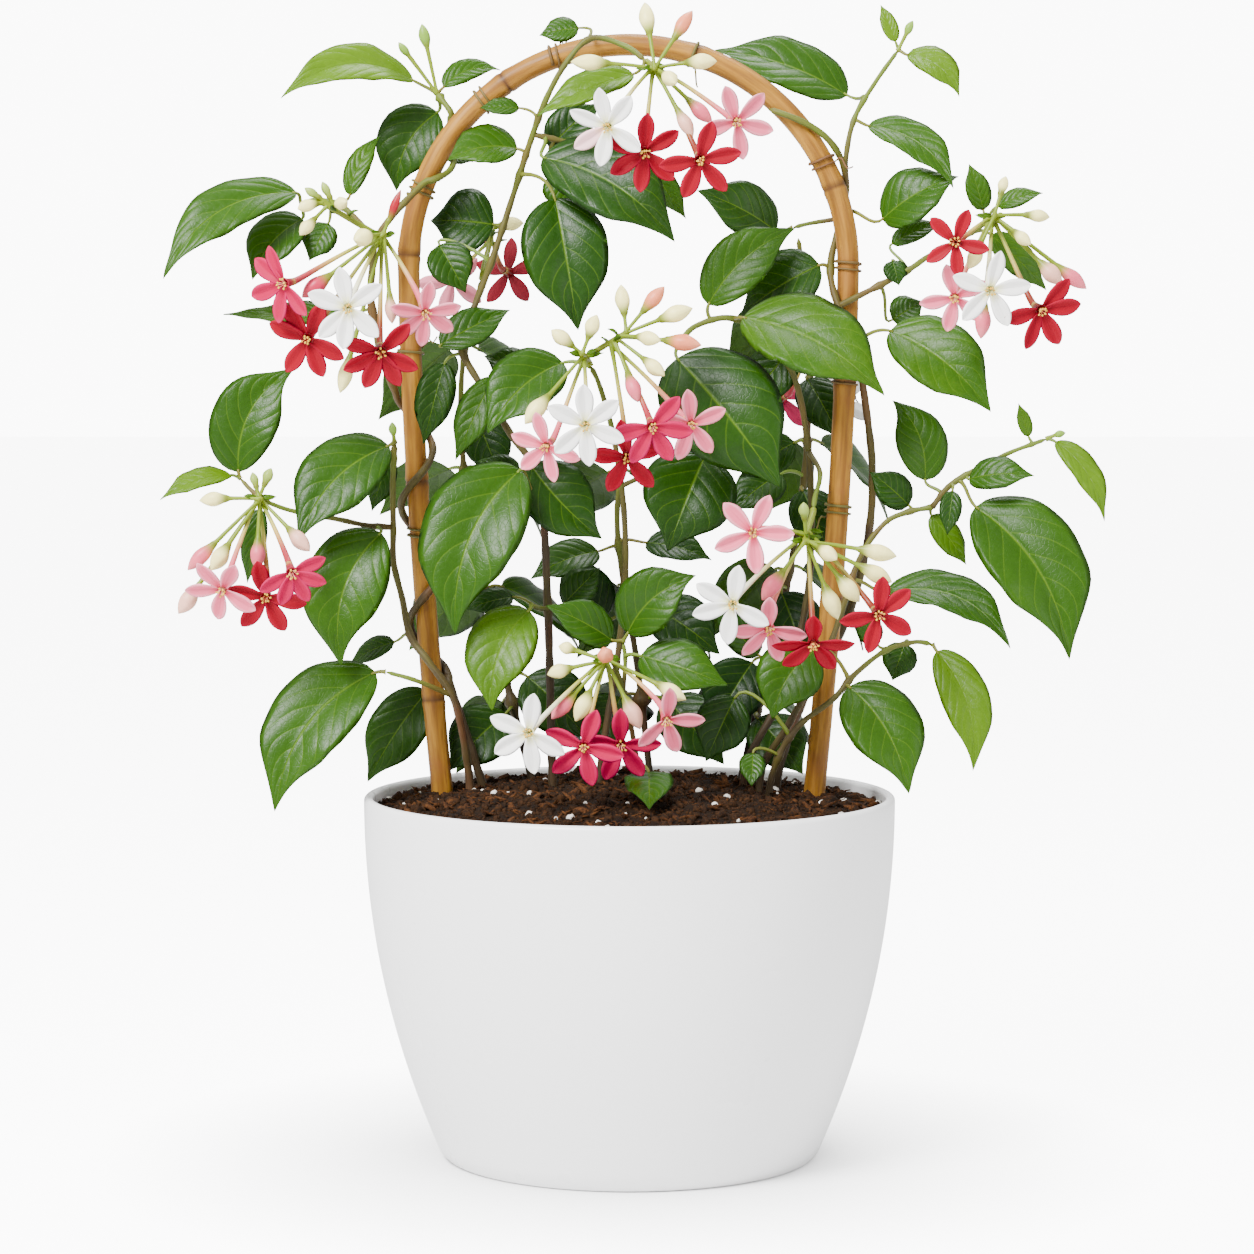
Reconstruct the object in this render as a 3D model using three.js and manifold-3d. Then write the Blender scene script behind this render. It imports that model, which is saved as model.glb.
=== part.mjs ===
// Potted rangoon creeper: a flowering vine trained round a bamboo hoop in a white plastic pot.
// Units are millimetres, +Z is up, -Y is the front, and the origin is the middle of the pot's underside.
import * as THREE from 'three';
import { mergeVertices } from 'three/addons/utils/BufferGeometryUtils.js';
import Module from 'manifold-3d';

const wasm = await Module();
wasm.setup();

// Pot
const POT_HEIGHT = 173.8;
const POT_RIM_RADIUS = 127;
const POT_FOOT_RADIUS = 90;
const POT_FLARE_POWER = 2.1;
const POT_WALL = 4.5;
const POT_FLOOR = 5;
const POT_FOOT_ROUND = 3;
const POT_LIP_ROUND = 2.5;
const POT_SIDES = 24;
const POT_LEVELS = [25, 80, 140];
const DRAIN_COUNT = 5;
const DRAIN_RADIUS = 4.5;
const DRAIN_CIRCLE = 55;
const DRAIN_SIDES = 6;

// Soil
const SOIL_EDGE_HEIGHT = 167.5;
const SOIL_LEVELS = [25, 80];
const SOIL_MOUND = 11;
const SOIL_RELIEF = 1.3;
const SOIL_RELIEF_WAVES = [9, 7];
const SOIL_RINGS = 2;
const SOIL_PEAK = 0.4;
const SOIL_FADE = 20;

// Bamboo hoop: two legs that spread upwards and a half circle on top of them
const HOOP_ROD_RADIUS = 5.2;
const HOOP_RADIUS = 104.5;
const HOOP_CENTRE = new THREE.Vector3(-1, 5, 425.5);
const HOOP_LEG = 365;
const HOOP_LEG_PULL = 15;
const HOOP_LEG_SPAN = 250;
const HOOP_LEG_BEND = 1.6;
const HOOP_SLANT = 0.08;
const HOOP_SIDES = 6;
const HOOP_LEG_STATIONS = [0, 130, 230, 310];
const HOOP_ARCH_RINGS = 15;

// Gaps between solids, and how finely they are made
const CLEARANCE = 0.4;
const HOLE_CLEARANCE = 0.65;
const STALK_GAP = 0.6;
const TWINE_GAP = 1;
const FUSE_TOLERANCE = 0.08;
const SAMPLE_STEP = 3;
const STEM_SIDES = 5;

// Leaves: a form for each width, with the blade's half width at each station along the midrib
const PETIOLE_RADIUS = 0.9;
const BLADE_ABOVE = 0.6;
const BLADE_BELOW = 0.8;
const BLADE_FOLD = 0.12;
const LEAF_FORMS = [
  { from: 38, ridge: true, stations: [[0.07, 0.58], [0.26, 0.97], [0.52, 0.92], [0.78, 0.52]] },
  { from: 15, ridge: false, stations: [[0.12, 0.72], [0.4, 1], [0.72, 0.62]] },
  { from: 0, ridge: false, stations: [[0.22, 0.88], [0.62, 0.82]] },
];

// Flower stalks and buds
const STALK_LEAD = 4;
const RACHIS_LENGTH = 9;
const RACHIS_SUNK = 2;
const RACHIS_RADII = [1.5, 1.2];
const RACHIS_SIDES = 4;
const RACHIS_FORK = 0.3;
const PEDICEL_RADIUS = 0.8;
const PEDICEL_ARCH = 3;
const TUBE_SIDES = 3;
const TUBE_SPACING = 20;
const TUBE_END_RADIUS = 1.5;
const TUBE_BEND = 7;
const BUD_SHARE = 0.8;
const BUD_NECK = 1.2;
const BUD_BELLY = [0.4, 0.5];
const BUD_SHOULDER = [0.78, 0.36];

// Florets: a petal's shape as shares of the floret's radius
const THROAT_LENGTH = 8;
const THROAT_RADIUS = 2.9;
const PETAL_THICKNESS = 1;
const PETAL_CUP = 1.6;
const PETAL_HALF_WIDTH = 0.21;
const PETAL_GAP = 2;
const PETAL_WIDEST_GAP = 60;
const PETAL_WAIST = 0.45;
const PETAL_MIDDLE = 0.55;
const PETAL_SHOULDER = [0.8, 0.8];
const PETAL_NOTCH = 0.18;
const BOSS_HEIGHT = 1.4;

// Colour and roughness by kind
const FINISHES = {
  pot: [0xf2f3f3, 0.3],
  soil: [0x3a2a20, 0.95],
  bamboo: [0xb98a55, 0.55],
  leaf: [0x3f7f2a, 0.45],
  stalk: [0xa9bd5a, 0.5],
  white: [0xf6f4ee, 0.5],
  pink: [0xf08aa4, 0.5],
  rose: [0xdd2a5c, 0.5],
  red: [0xc2101f, 0.5],
};

// A stem is [root radius, tip radius, ring spacing, points]. A leaf is [base, tip, width, bow, swerve,
// turn, lift]: bow and swerve bend the midrib, turn and lift say which way its upper face looks.
// A bud is [root, tip, length, width]. "twine" winds a stem round the hoop between two distances
// along it and two angles, in so many points.
const VINES = [
  {
    name: 'vine_left_high',
    stems: [
      [2.2, 1.5, 11, [[-66, 20, 150], [-69, 20, 168], [-76, 17, 192], ['twine', 165, 306, -90, -990, 17],
        [-118, 6, 382], [-123, 4, 409], [-122, 0, 424], [-120, -5, 437], [-112, -6, 449],
        ['twine', 405, 440, 0, -240, 5], [-92, 22, 508]]],
      [1.5, 1.2, 20, [[-120, -5, 437], [-134, 0, 452], [-147, 4, 457], [-155, 3, 455]]],
    ],
    leaves: [
      [[-103, 18, 514], [-164, -10, 504], 22, 9, -8, 0, 30],
      [[-89, 20, 511], [-62, 28, 520], 13, 2, 4, 0, 30],
      [[-92, 31, 500], [-112, 27, 462], 32, 4, -5, 0, 25],
      [[-133, 8, 459], [-119, 18, 488], 12, 2, 2.5, 0, 20],
      [[-88, 27, 480], [-75, 26, 476], 11, 1, 0, 0, 30],
      [[-157, -6, 460], [-217, -35, 419], 27, 8, -9.5, 0, 28],
      [[-155, 2, 448], [-178, -10, 419], 26, 3, -3, 0, 35],
      [[-143, 5, 446], [-152, 0, 428], 17, 1, 0, 0, 30],
      [[-130, 15, 404], [-194, 10, 403], 14, 2, 2.5, 0, 42],
      [[-98, 28, 221], [-127, 22, 177], 29, 3, -1, 0, 25],
    ],
    buds: [
      [[-92, 22, 508], [-99, 18, 541], 12, 5.5],
      [[-92, 22, 508], [-110, 14, 532], 9, 4],
    ],
  },
  {
    name: 'vine_left_low',
    stems: [
      [2.1, 1.4, 21, [[-76, 0, 150], [-77, -1, 184], [-83, -12, 219], [-95, -14, 238], [-104, -10, 250],
        [-108, -8, 268], [-112, -8, 285], [-112, -10, 302], [-112, -12, 323], [-111, -14, 342]]],
      [1.4, 1.1, 21, [[-112, -10, 302], [-124, -13, 303], [-138, -14, 306], [-159, -16, 310],
        [-170, -19, 314], [-173, -24, 316]]],
      [1.2, 1, 21, [[-170, -19, 314], [-178, -14, 319], [-184, -12, 325]]],
      [1.3, 1, 21, [[-84, -12, 222], [-101, -20, 230], [-115, -20, 234]]],
    ],
    leaves: [
      [[-185, -12, 328], [-159, -5, 377], 33, 4, 8, 0, 20],
      [[-188, -15, 327], [-220, -30, 316], 14, 4, 0, 0, 50],
      [[-113, -22, 341], [-154, -45, 297], 36, 5, -6, 0, 35],
      [[-114, 0, 336], [-123, 2, 309], 14, 1, 0, 0, 25],
      [[-117, -20, 300], [-135, -35, 238], 39, 5, -8.5, 0, 30],
      [[-120, -20, 234], [-166, -44, 170.5], 41, 6, -10, 0, 35],
      [[-112, -2, 247], [-134, 4, 236], 14, 2, 0, 0, 40],
      [[-175, -8, 311], [-182, -5, 275], 12, 2, 0, 0, 20],
    ],
    buds: [
      [[-111, -14, 342], [-112, -16, 352], 7, 4],
    ],
  },
  {
    name: 'vine_inner_left',
    stems: [
      [2.1, 1.3, 21, [[-36, -5, 150], [-37, -5, 187], [-39, -5, 266], [-43, -8, 323], [-57, -5, 347],
        [-70, 0, 368], [-80, 5, 388], [-73, 8, 409], [-66, 8, 427], [-56, 6, 457], [-48, 0, 481],
        [-40, -8, 502], [-30, -10, 520], [-18, -9, 532], [-2, -12, 528], [7, -20, 521]]],
      [1.2, 1, 21, [[-44, -4, 486], [-20, 2, 482], [2, 10, 478]]],
      [1.2, 1, 21, [[-40, -6, 300], [-46, -18, 318], [-50, -26, 330]]],
      [1.1, 1, 21, [[-39, -5, 262], [-43, -18, 264], [-46, -28, 266]]],
    ],
    leaves: [
      [[-53, 4, 481], [-86, -5, 475], 25, 2, -3, 0, 35],
      [[-52, 1, 500], [-71, 0, 500], 10, 1, 0, 0, 30],
      [[-65, 25, 446], [-96, 30, 448], 33, 2, 0, 0, 20],
      [[-91, 12, 436], [-78, 6, 413], 22, 2, 0, 0, 20],
      [[-90, -2, 388], [-57, 10, 405], 20, 2, 0, 0, 30],
      [[-88, 4, 380], [-98, -2, 341], 19, 2, 0, 0, 25],
      [[-46, 18, 373], [-70, 22, 383], 19, 2, 0, 0, 25],
      [[-64, -10, 373], [-82, -20, 334], 19, 3, 0, 0, 30],
      [[-51, -28, 330], [-81, -50, 254], 48, 7, -9, 0, 30],
      [[-47, -12, 332], [-13, -18, 297], 34, 3, -3, 0, 25],
      [[-52, 2, 329], [-73, 6, 333], 11, 1, 0, 0, 25],
      [[-35, -18, 457], [-24, -30, 395], 41, 5, 0, 0, 25],
      [[2, -26, 514], [-43, -34, 494], 18, 4, 0, 0, 35],
      [[-24, 12, 538.5], [-43, 12, 535], 14, 1, 0, 0, 30],
      [[-41, -12, 476], [21, -35, 436], 41, 6, 5, 0, 35],
      [[-38, 4, 481], [-14, 8, 503], 22, 3, 0, 0, 25],
      [[-33, 14, 472], [-24, 10, 452], 26, 2, 0, 0, 20],
      [[8, 12, 474], [27, 8, 448], 14, 2, 0, 0, 20],
      [[-47, -30, 264], [-64, -48, 218], 33, 4, -6, 0, 30],
      [[-55, -10, 269], [-78, -14, 263], 13, 2, 0, 0, 30],
      [[-31, 5, 265], [-14, 7, 282], 19, 1, 0, 0, 25],
    ],
    buds: [],
  },
  {
    name: 'vine_centre',
    stems: [
      [1.9, 1.2, 21, [[-14, -2, 150], [-14, -2, 185], [-6, 0, 237], [-2, 0, 275], [-3, -5, 314],
        [-8, -10, 347], [-14, -25, 369], [-18, -32, 378]]],
      [1.2, 1, 21, [[-3, -6, 321], [15, -3, 330], [29, 0, 337]]],
    ],
    leaves: [
      [[-31, -28, 380], [-66, -45, 347], 33, 5, -3, 0, 35],
      [[36, -3, 336], [18, -18, 291], 45, 5, 0, 0, 25],
    ],
    buds: [],
  },
  {
    name: 'vine_inner_right',
    stems: [
      [2, 1.3, 21, [[54, 6, 150], [56, 6, 186], [74, 10, 222], [85, 11, 265], [87, 9, 304], [85, 6, 342],
        [77, 0, 376], [60, -8, 395], [46, -13, 401], [31, -14, 397], [24, -18, 390]]],
      [1.3, 1.1, 21, [[85, 5, 337], [90, -14, 328], [87, -28, 317], [86, -34, 312]]],
    ],
    leaves: [
      [[37, -16, 407], [78, -12, 443], 28, 4, 4, 0, 25],
      [[53, -20, 401], [118, -48, 365], 45, 6, 4, 0, 40],
      [[22, -25, 382], [70, -45, 322], 55, 6, 0, 0, 30],
      [[77, 10, 386], [56, 14, 359], 26, 2, 0, 0, 25],
      [[79, 7, 342], [53, 12, 325], 22, 2, 0, 0, 25],
      [[62, 4, 240], [40, 0, 262], 17, 1, 0, 0, 25],
    ],
    buds: [],
  },
  {
    name: 'vine_right_high',
    stems: [
      [2.2, 1.5, 11, [[70, 14, 150], [72, 14, 183], [84, 18, 217], [104, 16, 255], [114, 10, 294],
        [116, 6, 330], ['twine', 748, 606, 90, -400, 14]]],
      [1.4, 1, 21, [[100, -8, 460], [102, -9, 477], [106, -9, 495], [116, -9, 512], [126, -10, 526]]],
      [1.2, 1, 21, [[94, 6, 450], [86, 9, 446], [78, 9, 444]]],
      [1.6, 1.1, 21, [[113, -2, 410], [129, -9, 422], [141, -13, 430], [156, -18, 438], [165, -26, 444]]],
    ],
    leaves: [
      [[70, 8, 442], [32, -5, 461], 29, 4, 0, 0, 25],
      [[90, -6, 426], [53, 4, 402], 34, 4, 0, 0, 30],
      [[123, -10, 395], [169, -30, 357], 36, 5, 2.5, 0, 35],
      [[125, 5, 400], [140, 5, 409], 17, 1, 0, 0, 25],
      [[119, -12, 447], [154, -20, 467], 30, 5, 0, 0, 35],
      [[112, -10, 491], [151, -28, 461], 20, 3, 7, 0, 35],
      [[104, 18, 507], [40, 28, 529], 31, 5, -2, 0, 35],
      [[130, -12, 524], [154, -22, 504], 17, 3, 4, 0, 35],
      [[125, -10, 530], [118, -6, 548], 8, 1, 0, 0, 20],
      [[124, -2, 436], [148, -2, 446], 12, 2, 0, 0, 35],
      [[124, -8, 428], [127, -12, 416], 12, 1, 0, 0, 25],
      [[166, -18, 451], [159, -18, 473], 12, 2, 0, 0, 20],
      [[172, -22, 453], [193, -26, 459], 11, 2, 0, 0, 35],
      [[170, -12, 440], [197, -8, 414], 17, 2, 0, 0, 25],
    ],
    buds: [
      [[126, -10, 526], [133, -11, 540], 8, 4],
    ],
  },
  {
    name: 'vine_right_mid',
    stems: [
      [1.9, 1.2, 21, [[62, -6, 150], [63, -6, 185], [76, -12, 209], [95, -16, 247], [108, -12, 285],
        [120, -10, 303], [131, -10, 309], [145, -12, 312]]],
      [1.3, 1, 21, [[143, -12, 312], [153, -13, 323], [176, -16, 336], [196, -20, 344]]],
    ],
    leaves: [
      [[122, -8, 271], [179, -30, 246], 24, 5, 11, 0, 40],
      [[163, -18, 312], [205, -45, 242], 47, 6, 8, 0, 35],
      [[160, -16, 325], [190, -26, 327], 18, 3, 0, 0, 35],
      [[152, -22, 320], [149, -28, 299], 11, 1, 0, 0, 25],
      [[143, -8, 308], [160, -8, 284], 14, 2, 0, 0, 25],
      [[140, -8, 324], [125, 0, 362], 25, 3, -5, 0, 20],
      [[133, -4, 312], [114, -4, 328], 18, 2, 0, 0, 25],
      [[200, -22, 343], [222, -35, 306], 14, 3, 4, 0, 35],
      [[188, -18, 345], [183, -18, 361], 7, 1, 0, 0, 20],
    ],
    buds: [
      [[196, -20, 344], [205, -22, 347], 6, 3.5],
    ],
  },
  {
    name: 'vine_right_low',
    stems: [
      [1.8, 1.1, 21, [[66, -20, 150], [67, -20, 183], [78, -26, 207], [96, -28, 222], [106, -24, 233],
        [121, -18, 244], [135, -17, 248], [143, -18, 247]]],
    ],
    leaves: [
      [[88, -26, 245], [67, -36, 213], 32, 3, -4, 0, 30],
      [[50, -18, 222], [36, -25, 192], 26, 2, 0, 0, 25],
      [[58, -32, 197], [57, -42, 182], 13, 1, 0, 0, 40],
      [[103, -29, 228], [130, -52, 180], 37, 5, 4, 0, 35],
      [[145, -20, 244], [161, -38, 189], 23, 4, 6, 0, 30],
      [[131, -8, 247], [125, -10, 229], 17, 1, 0, 0, 25],
      [[118, -6, 246], [108, -6, 262], 13, 1, 0, 0, 25],
    ],
    buds: [],
  },
  {
    name: 'vine_bottom',
    stems: [
      [1.5, 1.1, 21, [[5, -24, 150], [4, -24, 186], [-1, -30, 218], [-6, -36, 236], [-9, -40, 241]]],
      [1.1, 0.9, 12, [[-3, -32, 226], [-2, -31, 240], [-3, -31, 249]]],
    ],
    leaves: [
      [[-1, -33, 253], [31, -40, 281], 30, 4, 4, 0, 25],
      [[-8, -34, 250], [-39, -42, 267], 22, 3, 0, 0, 30],
      [[5, -36, 243], [46, -48, 230], 29, 4, -1, 0, 35],
      [[9, -42, 189], [9, -88, 177], 23, 2, 0, 0, 45],
    ],
    buds: [],
  },
];

// Vines behind the hoop, leafed by rule with pairs swept back to both sides, and by hand low down,
// where leaves fill the space between the front stems
const BACK_VINES = [
  { name: 'vine_back_left', seed: 11, pairs: 4, from: 0.22,
    path: [[-44, 42, 150], [-46, 42, 168], [-62, 50, 230], [-78, 52, 300], [-82, 46, 370], [-72, 44, 420]],
    low: [
      [[-50, 38, 227], [-20, 28, 197], 33, 4, 0, 0, 30],
      [[-60, 38, 209], [-88, 24, 182], 31, 4, 0, 0, 30],
      [[-76, 40, 356], [-62, 32, 322], 24, 3, 0, 0, 30],
    ] },
  { name: 'vine_back_centre', seed: 53, pairs: 3, from: 0.3,
    path: [[12, 46, 150], [11, 46, 168], [4, 52, 230], [-6, 48, 300], [0, 44, 350]],
    low: [
      [[-15, 40, 288], [-48, 30, 275], 22, 4, 0, 0, 40],
      [[-12, 58, 254], [-34, 62, 282], 27, 3, 0, 0, 20],
      [[8, 44, 292], [40, 36, 284], 20, 3, 0, 0, 40],
      [[12, 46, 260], [44, 34, 238], 30, 4, 0, 0, 30],
      [[-4, 48, 216], [-22, 42, 187], 26, 3, 0, 0, 30],
      [[18, 42, 215], [46, 26, 185], 31, 3, 0, 0, 30],
    ] },
  { name: 'vine_back_right', seed: 37, pairs: 4, from: 0.22,
    path: [[52, 46, 150], [53, 46, 168], [68, 50, 230], [84, 50, 310], [88, 46, 390], [82, 44, 440]],
    low: [
      [[74, 40, 326], [50, 32, 308], 24, 3, 0, 0, 35],
      [[74, 38, 268], [86, 26, 232], 30, 4, 0, 0, 25],
      [[60, 38, 234], [40, 29, 201], 31, 4, 0, 0, 30],
      [[62, 34, 207], [84, 18, 181], 29, 3, 0, 0, 35],
      [[86, 40, 372], [102, 26, 342], 24, 3, 0, 0, 30],
      [[84, 40, 318], [98, 28, 284], 25, 3, 0, 0, 30],
    ] },
];
const BACK_STEM = [1.9, 1.2, 44];
const BACK_TO = 0.86;
const BACK_PETIOLE = 10;
const BACK_LENGTH = [50, 66];
const BACK_ASPECT = 0.53;
const BACK_SPREAD = [36, 68];
const BACK_DROOP = [22, 46];
const BACK_LIFT = 52;
const BACK_RISE = 0.4;
const BACK_BOW = 0.09;

// A flower cluster hangs from a vine. head is where its stalks meet; a floret is [centre, diameter,
// way it faces, petal angles, colour], a bud is [tip, length, width, head it belongs to].
const CLUSTERS = [
  {
    name: 'top', vine: 'vine_inner_left', stem: 0,
    heads: [[11, -42, 516]],
    florets: [
      [[-10, -72, 487], 37, [-0.15, -1, -0.35], [154, 98, 48, -36, -100, -147], 'white', 0],
      [[7, -62, 476], 37, [0, -1, -0.3], [159, 89, 34, -44, -98, -149], 'red', 0],
      [[32, -70, 472], 38, [0.1, -1, -0.35], [78, 13, -48, -110, -171], 'red', 0],
      [[49, -60, 490], 36, [0.3, -1, -0.25], [114, 49, -15, -79, -164], 'pink', 0],
    ],
    buds: [[[7, -38, 546], 16, 7.4, 0], [[29, -40, 542], 16, 6.7, 0], [[-27, -48, 518], 17, 7.5, 0],
      [[40, -52, 518], 14, 7.5, 0], [[21, -64, 507], 12, 7, 0], [[38, -50, 490], 15, 7, 0],
      [[29, -55, 483], 15, 6.5, 0]],
  },
  {
    name: 'left_high', vine: 'vine_left_high', point: [-120, -5, 437],
    heads: [[-115, -34, 439], [-136, -31, 450]],
    florets: [
      [[-158, -68, 416], 37, [-0.5, -1, -0.15], [144, 107, -53, -104, -160], 'rose', 0],
      [[-128, -78, 405], 38, [0, -1, -0.2], [161, 98, 36, -43, -96, -133], 'white', 0],
      [[-148, -58, 391], 38, [-0.15, -1, -0.25], [157, 119, 61, -27, -73, -124], 'red', 0],
      [[-114, -66, 385], 38, [0.1, -1, -0.4], [160, 46, -26, -60, -110, -152], 'red', 0],
      [[-94, -58, 403], 34, [0.25, -1, -0.6], [171, 90, 13, -33, -91, -135], 'pink', 0],
    ],
    buds: [[[-151, -52, 410], 16, 8, 0], [[-110, -44, 398], 13, 6, 0], [[-154, -38, 451], 10, 6, 1],
      [[-153, -38, 439], 10, 6, 1], [[-131, -44, 454], 10, 6, 1], [[-126, -58, 436], 12, 8.5, 0],
      [[-134, -48, 366], 17, 7, 0], [[-106, -38, 460], 16, 4, 0], [[-143, -32, 464], 8, 4, 1],
      [[-151, -34, 461], 8, 4, 1]],
  },
  {
    name: 'centre', vine: 'vine_centre', stem: 0,
    heads: [[-21, -50, 383], [-8, -50, 390]],
    florets: [
      [[-20, -88, 352], 38, [-0.05, -1, -0.2], [150, 91, 37, -25, -84, -135], 'white', 0],
      [[10, -80, 351], 38, [0.1, -1, -0.35], [50, -4, -61, -116, -169], 'rose', 1],
      [[-1, -70, 337], 37, [0, -1, -0.3], [174, 100, 20, -50, -120], 'red', 1],
      [[28, -68, 352], 35, [0.3, -1, -0.3], [23, -50, -105, 170, 100], 'pink', 1],
      [[-38, -74, 342], 34, [-0.3, -1, -0.3], [100, 160, -140, -80, -20], 'pink', 0],
    ],
    buds: [[[-4, -48, 416], 14, 7, 1], [[16, -52, 415], 15, 7, 1], [[29, -56, 405], 16, 8, 1],
      [[-15, -58, 402], 11, 7, 0], [[-36, -58, 395], 12, 7, 0], [[14, -66, 390], 13, 7, 1],
      [[33, -60, 388], 17, 8, 1], [[16, -64, 374], 13, 7, 1], [[4, -66, 362], 15, 7, 1],
      [[-48, -66, 352], 17, 8, 0]],
  },
  {
    name: 'right_high', vine: 'vine_right_high', stem: 3,
    heads: [[168, -42, 447]],
    florets: [
      [[149, -64, 435], 32, [-0.2, -1, 0], [136, 69, -14, -86, -144], 'red', 0],
      [[164, -76, 413], 37, [0, -1, -0.2], [160, 79, 7, -60, -135], 'white', 0],
      [[188, -68, 404], 38, [0.3, -1, -0.3], [49, 9, -58, -112, -165], 'red', 0],
      [[150, -53, 410], 34, [-0.2, -1, -0.4], [100, 30, -40, -104, -168], 'pink', 0],
    ],
    buds: [[[156, -54, 423], 13, 7, 0], [[194, -46, 447], 11, 6, 0], [[174, -42, 466], 9, 5, 0],
      [[184, -58, 434], 10, 6, 0], [[199, -54, 416], 14, 8, 0], [[211, -48, 414], 16, 7, 0],
      [[162, -52, 391], 16, 7.5, 0]],
  },
  {
    name: 'left_low', vine: 'vine_left_low', stem: 1,
    heads: [[-173, -37, 317]],
    florets: [
      [[-155, -70, 284], 34, [0.25, -1, -0.5], [26, -18, -60, -104, -148], 'rose', 0],
      [[-168, -58, 272], 38, [0, -1, -0.4], [166, 100, -7, -66, -128], 'red', 0],
      [[-187, -68, 276], 36, [-0.2, -1, -0.7], [178, 120, 60, -39, -109], 'pink', 0],
    ],
    buds: [[[-200, -44, 316], 13, 7, 0], [[-205, -50, 284], 17, 7, 0], [[-194, -52, 284], 14, 8, 0],
      [[-209, -54, 264], 15, 8, 0], [[-173, -48, 284], 14, 7, 0], [[-148, -54, 293], 15, 7.5, 0],
      [[-176, -36, 329], 7, 4, 0], [[-167, -38, 331], 8, 5, 0]],
  },
  {
    name: 'right_low', vine: 'vine_inner_right', stem: 1,
    heads: [[82, -54, 301]],
    florets: [
      [[56, -84, 303], 38, [-0.1, -1, -0.1], [134, 68, 2, -85, -155], 'pink', 0],
      [[47, -78, 270], 38, [-0.15, -1, -0.2], [147, 78, -32, -98, -163], 'white', 0],
      [[64, -68, 258], 36, [0, -1, -0.55], [-13, -73, -133, -177, 90], 'pink', 0],
      [[84, -78, 252], 38, [0, -1, -0.9], [90, -2, -56, -135, -176], 'red', 0],
      [[114, -74, 265], 37, [0.2, -1, -0.25], [86, 40, -27, -104, -170], 'red', 0],
    ],
    buds: [[[61, -64, 271], 16, 8, 0], [[123, -62, 291], 17, 8, 0], [[121, -60, 279], 16, 8, 0],
      [[95, -70, 290], 11, 7, 0], [[96, -62, 262], 16, 8, 0], [[106, -62, 270], 15, 8, 0],
      [[80, -62, 316], 8, 5, 0]],
  },
  {
    name: 'bottom', vine: 'vine_bottom', stem: 0,
    heads: [[-11, -51, 243]],
    florets: [
      [[-46, -88, 212], 38, [-0.2, -1, -0.15], [155, 78, -31, -81, -149], 'white', 0],
      [[-21, -82, 205], 38, [-0.05, -1, -0.2], [154, 73, -15, -78, -139], 'rose', 0],
      [[-4, -63, 204], 38, [0.1, -1, -0.4], [172, 95, 1, -54, -113], 'rose', 0],
      [[17, -78, 217], 36, [0.2, -1, -0.5], [90, 0, -70, -134], 'pink', 0],
    ],
    buds: [[[-33, -54, 249], 8, 6, 0], [[-38, -58, 236], 11, 7, 0], [[-11, -70, 247], 11, 7.5, 0],
      [[-36, -64, 216], 15, 7.5, 0], [[-25, -64, 215], 15, 8, 0], [[5, -62, 211], 16, 8, 0],
      [[26, -64, 225], 15, 7.5, 0]],
  },
  {
    name: 'back_left', vine: 'vine_back_left', stem: 0,
    heads: [[-68, 60, 440]],
    florets: [
      [[-60, 80, 424], 36, [0.3, 1, -0.2], [90, 18, -54, -126, 162], 'red', 0],
      [[-88, 84, 420], 36, [-0.3, 1, -0.2], [70, -2, -74, -146, 142], 'pink', 0],
    ],
    buds: [[[-52, 66, 448], 12, 7, 0], [[-73, 84, 440], 14, 7, 0], [[-88, 68, 446], 12, 6, 0]],
  },
  {
    name: 'back_right', vine: 'vine_back_right', point: [87, 46, 388],
    heads: [[88, 62, 384]],
    florets: [
      [[105, 90, 360], 36, [0.3, 1, -0.2], [60, -12, -84, -156, 132], 'white', 0],
      [[76, 84, 362], 36, [-0.3, 1, -0.2], [90, 18, -54, -126, 162], 'rose', 0],
    ],
    buds: [[[72, 72, 386], 12, 7, 0], [[92, 88, 374], 14, 7, 0], [[106, 72, 388], 12, 6, 0]],
  },
];

const UP = new THREE.Vector3(0, 0, 1);
const FRONT = new THREE.Vector3(0, -1, 0);
const rad = THREE.MathUtils.degToRad;
const vector = (p) => new THREE.Vector3(...p);
const along = (point, direction, distance) => point.clone().addScaledVector(direction, distance);
const range = (count) => Array.from({ length: count }, (_, i) => i);
const potRadius = (z) => POT_RIM_RADIUS
  - (POT_RIM_RADIUS - POT_FOOT_RADIUS) * (1 - z / POT_HEIGHT) ** POT_FLARE_POWER;

// Closed solids

// The signed volume of an indexed triangle mesh says whether its faces point out.
function signedVolume(positions, index) {
  const [a, b, c] = [new THREE.Vector3(), new THREE.Vector3(), new THREE.Vector3()];
  let sum = 0;
  for (let i = 0; i < index.length; i += 3) {
    a.fromArray(positions, index[i] * 3);
    b.fromArray(positions, index[i + 1] * 3);
    c.fromArray(positions, index[i + 2] * 3);
    sum += a.dot(b.cross(c));
  }
  return sum / 6;
}

function solid(geometry) {
  const bare = new THREE.BufferGeometry();
  bare.setAttribute('position', geometry.getAttribute('position'));
  bare.setIndex(geometry.getIndex());
  const merged = mergeVertices(bare, 1e-4);
  const positions = merged.getAttribute('position').array;
  const all = Array.from(merged.getIndex().array);
  const triangles = range(all.length / 3).map((i) => all.slice(i * 3, i * 3 + 3));
  const real = triangles.filter(([a, b, c]) => a !== b && b !== c && a !== c);
  const inward = signedVolume(positions, real.flat()) < 0;
  const faces = inward ? real.map(([a, b, c]) => [a, c, b]) : real;
  return new wasm.Manifold(new wasm.Mesh({
    numProp: 3,
    vertProperties: new Float32Array(positions),
    triVerts: new Uint32Array(faces.flat()),
  }));
}

const fuse = (solids) => solids.reduce((whole, piece) => whole.add(piece)).simplify(FUSE_TOLERANCE);

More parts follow.
